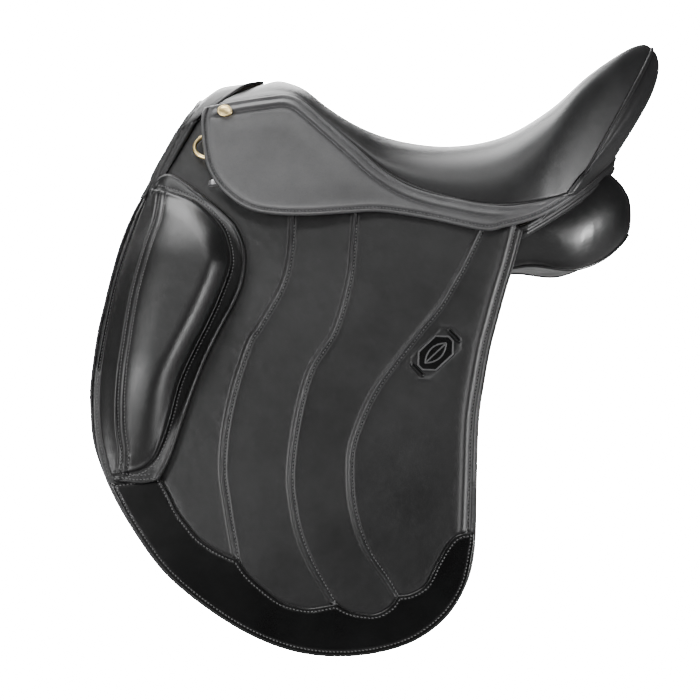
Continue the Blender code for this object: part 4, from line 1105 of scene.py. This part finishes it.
# Panel sections from front to rear: x, then the ring as (h, z).
PANEL = [(-166, [(50, 92), (68, 88), (90, 20), (108, -60), (100, -74), (88, -60), (66, 16), (50, 60)]),
         (-150, [(44, 98), (74, 96), (97, 0), (119, -88), (106, -102), (90, -84), (64, 0), (46, 60)]),
         (-110, [(39, 102), (84, 102), (107, 0), (127, -84), (113, -98), (92, -76), (64, 2), (41, 60)]),
         (-40, [(35, 82), (93, 82), (117, 0), (124, -36), (111, -48), (88, -26), (58, 5), (35, 30)]),
         (40, [(33, 72), (112, 70), (125, 34), (126, 2), (112, -16), (84, -8), (54, 6), (33, 20)]),
         (110, [(33, 80), (108, 80), (130, 50), (134, 24), (121, 5), (92, 11), (54, 14), (33, 22)]),
         (160, [(33, 96), (98, 96), (124, 62), (131, 28), (118, 3), (89, 9), (54, 13), (33, 22)]),
         (192, [(35, 104), (84, 104), (108, 76), (115, 44), (103, 14), (80, 19), (54, 22), (36, 34)]),
         (213, [(40, 92), (70, 92), (90, 74), (95, 52), (85, 32), (66, 30), (51, 34), (41, 50)]),
         (223, [(48, 76), (62, 76), (71, 67), (73, 57), (67, 47), (58, 45), (51, 49), (48, 60)])]
PANEL_ROUND, PANEL_STEP = 48, 7.0
PANEL_SLIM, PANEL_SLIM_FROM = 1.0, 12.0
VOXEL, FILL_CAP, FILL_PRESSURE, FILL_FRAMES = 5.5, 3.2, 4.0, 20
WELT_COLUMN, WELT_RADIUS = 25, 1.7


def panel_grid():
    """Rings of the right panel from front to rear, as (x, h, z)."""
    rings = []
    for x, ring in PANEL:
        line = curve_points(ring + ring[:1], 1.0)
        run = run_of(line)
        corner = [run[np.argmin(np.linalg.norm(line[:-1] - np.array(p), axis=1))] for p in ring[1:]]
        stops = [0.0, *corner, run[-1]]
        part = PANEL_ROUND // len(ring)
        at = np.concatenate([np.linspace(a, b, part, endpoint=False) for a, b in zip(stops, stops[1:])])
        rings.append(np.insert(at_run(line, run, at), 0, x, axis=1))
    steps = [max(2, int(round(abs(b[0] - a[0]) / PANEL_STEP))) for a, b in zip(PANEL, PANEL[1:])]
    grid = between(np.array(rings), steps)
    limit = sweat_half(grid[..., 0], grid[..., 2]) - SWEAT_THICK - 1.2
    grid[..., 1] = np.minimum(grid[..., 1], limit)
    return grid


def apply_modifiers(piece):
    graph = bpy.context.evaluated_depsgraph_get()
    made = bpy.data.meshes.new_from_object(piece.evaluated_get(graph))
    piece.modifiers.clear()
    old, piece.data = piece.data, made
    bpy.data.meshes.remove(old)
    piece.data.shade_smooth()


def places(piece):
    return np.array([v.co for v in piece.data.vertices])


def inflated(piece):
    """Fills a soft piece with pressure in a cloth simulation, and keeps each point near its start."""
    even = piece.modifiers.new("even mesh", "REMESH")
    even.mode = "VOXEL"
    even.voxel_size = VOXEL * MM
    bpy.context.view_layer.update()
    apply_modifiers(piece)
    before = places(piece)
    cloth = piece.modifiers.new("filling", "CLOTH")
    cloth.settings.use_pressure = True
    cloth.settings.uniform_pressure_force = FILL_PRESSURE
    cloth.settings.quality = 4
    cloth.settings.effector_weights.gravity = 0
    scene = bpy.context.scene
    for number in range(1, FILL_FRAMES + 1):
        scene.frame_set(number)
    apply_modifiers(piece)
    scene.frame_set(1)
    move = places(piece) - before
    far = np.linalg.norm(move, axis=1)[:, None]
    after = before + move * np.minimum(1.0, FILL_CAP * MM / np.maximum(TINY, far))
    piece.data.vertices.foreach_set("co", after.ravel())


def subdivided(piece):
    step = piece.modifiers.new("smoothing", "SUBSURF")
    step.levels = step.render_levels = 1
    apply_modifiers(piece)


def settled(line, piece, lift):
    """The line laid on the surface of a piece, and smoothed along its way."""
    laid = []
    for point in line:
        _, spot, normal, _ = piece.closest_point_on_mesh(Vector(point) * MM)
        laid.append(np.array(spot) / MM + np.array(normal) * lift)
    return smoothed(np.array(laid), 4)


def make_panels():
    """Wool-filled panels: the right one is filled by the simulation, and the left one is its mirror."""
    grid = panel_grid()
    centre = grid.mean(1, keepdims=True)
    reach = np.linalg.norm(grid - centre, axis=2)[..., None]
    slim = centre + (grid - centre) * (1 - PANEL_SLIM / np.maximum(PANEL_SLIM_FROM, reach))
    pad = ring_body("panel_pad_right", slim, "panel")
    inflated(pad)
    subdivided(pad)
    other = add_object("panel_pad_left", pad.data.copy())
    other.data.vertices.foreach_set("co", (places(other) * np.array([1, -1, 1])).ravel())
    outward_normals(other)
    for piece, (side, word) in zip((other, pad), SIDES):
        placed(piece, "saddle", f"panel_{word}")
        line = curve_points(grid[2:-1, WELT_COLUMN] * np.array([1, side, 1]), 3.0)
        welt = tube(f"panel_welt_low_{word}", settled(line, piece, 0.3), WELT_RADIUS, "panel", 8)
        placed(welt, "saddle")


# ---------------------------------------------------------------- straps and metalwork

STRAP_X = (("front", -79.5), ("rear", -39.5))
STRAP_WIDE, STRAP_POINT, STRAP_TIP = 25.0, 16, 5
HOLE_FIRST, HOLE_PITCH, HOLE_COUNT = -300.0, 22.0, 8
HOLE_HALF, STRAP_SEAM = (2.2, 3.0), 3.0


def strap_face(x, z):
    return strap_half(x, z) + STRAP_THICK / 2


def make_strap(side, word, place, x):
    """One girth strap: pointed, with a row of oval holes and a seam along both edges."""
    low, high, neck = x - STRAP_WIDE / 2, x + STRAP_WIDE / 2, STRAP_END + STRAP_POINT
    front, rear = [(low, STRAP_TOP), (low, neck)], [(high, neck), (high, STRAP_TOP)]
    point = [(low, neck), (x - STRAP_TIP, STRAP_END), (x + STRAP_TIP, STRAP_END), (high, neck)]
    outline = outline_of([front, point, rear, [(high, STRAP_TOP), (low, STRAP_TOP)]], 4.0)
    (long, tall), turn = HOLE_HALF, np.linspace(0, 2 * math.pi, 13)[:-1]
    holes = [np.stack([x + long * np.cos(turn), HOLE_FIRST + HOLE_PITCH * k + tall * np.sin(turn)], 1)
             for k in range(HOLE_COUNT)]

    def relief(points, dist):
        edge = STRAP_WIDE / 2 - np.abs(points[:, 0] - x)
        return beads(edge, ((-0.5, STRAP_SEAM, 0.8),)) * ease(dist / 1.2)

    rims = [(curve_points(line, 4.0), (2.2, 3.0, 3.8)) for line in (front, rear)]
    piece = sheet(f"girth_strap_{place}_skin_{word}", side, outline, strap_face, STRAP_THICK, "strap", 5.0, 1.2,
                  relief, rims, holes, back_edge=1.2)
    placed(piece, f"girth_straps_{word}", f"girth_strap_{place}_{word}")
    rows = [(np.array([(edge, STRAP_TOP - 4), (edge, neck + 2)]), -0.25)
            for edge in (low + STRAP_SEAM, high - STRAP_SEAM)]
    out = surface_out(strap_face, side)
    placed(sewn(f"girth_strap_{place}_stitching_{word}", side, strap_face, rows, out), f"girth_straps_{word}")


def local_frame(x, z, side, half):
    """Origin and axes on a face: t rearwards along it, n outwards, u up along it."""
    def point(px, pz):
        return np.array([px, side * float(half(px, pz)), pz])
    t = unit(point(x + 1, z) - point(x - 1, z))
    rise = unit(point(x, z + 1) - point(x, z - 1))
    n = unit(np.cross(t, rise))
    n = n if n[1] * side > 0 else -n
    return point(x, z), t, n, unit(rise - t * rise.dot(t))


NAIL_AT, NAIL_LEAN, NAIL_HALF = (-184.5, 163.0), math.radians(-14), (7.6, 5.8)
# Rings of the nail's head: share of its half-axes, and height.
NAIL_RINGS = [(1.0, -1.0), (1.0, 0.6), (1.06, 1.2), (1.05, 1.7), (0.99, 2.05), (0.9, 2.1), (0.84, 1.95),
              (0.8, 1.95), (0.68, 2.2), (0.5, 2.45), (0.32, 2.6), (0.14, 2.68)]
DEE_AT, DEE_OFF, DEE_HALF, DEE_RADIUS = (-196.5, 126.0), 6.0, (18.0, 13.0), 2.0


def make_nail(side, word):
    """An oval nail head with a plain rim and a domed middle."""
    at, t, n, u = local_frame(*NAIL_AT, side, skirt_half)
    c, s = math.cos(NAIL_LEAN), math.sin(NAIL_LEAN)
    long_way, short_way = (t * c + u * s) * NAIL_HALF[0], (u * c - t * s) * NAIL_HALF[1]
    rings = [hoop(at + n * (high + GAP), long_way * share, short_way * share, 36) for share, high in NAIL_RINGS]
    tips = np.stack([at - n * 0.6, at + n * (NAIL_RINGS[-1][1] + 0.1 + GAP)])
    piece = ring_body(f"saddle_nail_head_{word}", np.array(rings), "brass", tips)
    placed(piece, "saddle", f"saddle_nail_{word}")


def make_dee(side, word):
    """A round-wire ring with a straight rear bar."""
    at, t, n, u = local_frame(*DEE_AT, side, flap_half)
    turn = np.linspace(math.pi / 2, 3 * math.pi / 2, 37)[:, None]
    arc = at + t * DEE_HALF[0] * np.cos(turn) + u * DEE_HALF[1] * np.sin(turn) + n * DEE_OFF
    straight = arc[-1] + (arc[0] - arc[-1]) * np.linspace(0, 1, 15)[1:-1, None]
    path = smoothed(np.concatenate([arc, straight]), 3, closed=True)
    along = np.roll(path, -1, 0) - np.roll(path, 1, 0)
    across = unit(np.cross(along, n)) * DEE_RADIUS
    cols = 12
    rings = [hoop(p, a, n * DEE_RADIUS, cols) for p, a in zip(path, across)]
    faces = grid_faces(len(path), cols, closed=True)
    last = (len(path) - 1) * cols
    faces += [(last + k, last + (k + 1) % cols, (k + 1) % cols, k) for k in range(cols)]
    piece = add_mesh(f"dee_ring_round_{word}", np.concatenate(rings), faces, "brass")
    placed(piece, f"dee_ring_{word}", f"dee_ring_{word}")


BAR_TIP_AT, BAR_TIP_LONG, BAR_TIP_DROP, BAR_TIP_SHARE = -190.0, 3.5, 86.5, 0.6


def round_bar_tip(bar):
    """Draws the bar's front tip down to a small round end."""
    for vertex in bar.data.vertices:
        place = bar.matrix_world @ vertex.co / MM
        if place.x < BAR_TIP_AT:
            place.x += BAR_TIP_LONG
            place.z = BAR_TIP_DROP + (place.z - BAR_TIP_DROP) * BAR_TIP_SHARE
            vertex.co = bar.matrix_world.inverted() @ (place * MM)


# Parts that keep their CAD shape: node, look, width of the rounding, and body where it is not the saddle.
SIDE_PARTS = (("stirrup_bar", "steel", 2.6), ("bar_rivet_front", "steel", 0.5),
              ("bar_rivet_rear", "steel", 0.5), ("catch_pin", "steel", 0.3), ("dee_staple", "strap", 0.7),
              ("point_pocket", "strap", 0.6), ("tree_rail", "wood", 1.2), ("seat_web", "web", 0.6),
              ("bar_catch", "steel", 0.8, "bar_catch"), ("buckle_guard", "strap", 0.7, "buckle_guard"))
MIDDLE_PARTS = (("tree_head", "wood", 1.5), ("tree_cantle", "wood", 1.5), ("head_plate", "plate", 0.8),
                ("girth_web_front", "web", 0.6), ("girth_web_rear", "web", 0.6))


def make_small_parts(word):
    for node, look, width, *body in SIDE_PARTS:
        piece = softened(f"{node}_{word}", look, width, f"{body[0]}_{word}" if body else "saddle")
        if node == "stirrup_bar":
            round_bar_tip(piece)


# ---------------------------------------------------------------- floor, light and camera

# How bright the floor and the surroundings are as light on the saddle, and as the camera sees them.
FLOOR_GLOW, FLOOR_SEEN = 0.03, 40.0
WORLD_LIGHT, WORLD_SEEN = 0.045, 40.0
FLOOR_REACH, FLOOR_LEVEL = 14.0, -0.42
LENS, CAMERA_AT = 124.8, (-0.060, -2.5, -0.075)
WHITE = (1.0, 1.0, 1.0, 1.0)
# Area lights: name, place, target, size and power.
LIGHTS = (("overhead", (-0.6, 0.3, 1.7), (0.1, 0.0, 0.1), (1.4, 0.9), 56.0),
          ("back_top", (-0.55, 1.7, 1.0), (0.1, 0.0, 0.1), (1.5, 1.0), 46.0),
          ("front_fill", (-0.6, -2.1, 2.6), (0.0, 0.0, -0.1), (1.2, 1.0), 30.0),
          ("left_strip", (-1.05, -0.7, 0.12), (-0.25, -0.1, -0.05), (0.22, 0.5), 11.0),
          ("right_box", (1.6, -1.3, -0.03), (0.2, 0.0, 0.0), (0.45, 0.5), 48.0))


def make_floor():
    paint = Paint("pale_floor")
    tone = paint.noise(3.0, 4.0)
    seen = paint.node("ShaderNodeLightPath", "Is Camera Ray", {})
    paint.surface(Base_Color=paint.ramp(tone, (0.3, (0.3, 0.3, 0.3)), (0.7, (0.34, 0.34, 0.34))),
                  Roughness=paint.span(tone, 0.2, 0.8, 0.85, 0.95), Emission_Color=WHITE,
                  Emission_Strength=paint.span(seen, 0.0, 1.0, FLOOR_GLOW, FLOOR_SEEN))
    mesh = bpy.data.meshes.new("floor")
    corners = [(x * FLOOR_REACH, y * FLOOR_REACH, FLOOR_LEVEL) for x, y in ((-1, -1), (1, -1), (1, 1), (-1, 1))]
    mesh.from_pydata(corners, [], [(0, 1, 2, 3)])
    mesh.materials.append(paint.made)
    add_object("floor", mesh)


def make_world():
    world = bpy.data.worlds.new("studio")
    bpy.context.scene.world = world
    world.use_nodes = True
    tree = world.node_tree
    back = tree.nodes["Background"]
    back.inputs["Color"].default_value = WHITE
    span = tree.nodes.new("ShaderNodeMapRange")
    span.inputs["To Min"].default_value = WORLD_LIGHT
    span.inputs["To Max"].default_value = WORLD_SEEN
    tree.links.new(tree.nodes.new("ShaderNodeLightPath").outputs["Is Camera Ray"], span.inputs["Value"])
    tree.links.new(span.outputs["Result"], back.inputs["Strength"])


def area_light(name, place, target, size, power):
    data = bpy.data.lights.new(name, "AREA")
    data.shape = "RECTANGLE"
    data.size, data.size_y = size
    data.energy = power
    lamp = add_object(name, data)
    lamp.location = place
    lamp.rotation_euler = (Vector(target) - Vector(place)).to_track_quat("-Z", "Y").to_euler()


def make_camera():
    data = bpy.data.cameras.new("camera")
    data.sensor_width = 36.0
    data.lens = LENS
    camera = add_object("camera", data)
    camera.location = CAMERA_AT
    camera.rotation_euler = (math.pi / 2, 0, 0)
    bpy.context.scene.camera = camera


make_camera()
make_world()
make_floor()
for light in LIGHTS:
    area_light(*light)
make_seat()
make_cantle()
make_rear_facing()
make_pommel_facing()
make_panels()
for part in MIDDLE_PARTS:
    softened(*part, "saddle")
for side, word in SIDES:
    make_flap(side, word)
    make_sweat_flap(side, word)
    make_block(side, word)
    make_skirt(side, word)
    for place, x in STRAP_X:
        make_strap(side, word, place, x)
    make_nail(side, word)
    make_dee(side, word)
    make_small_parts(word)
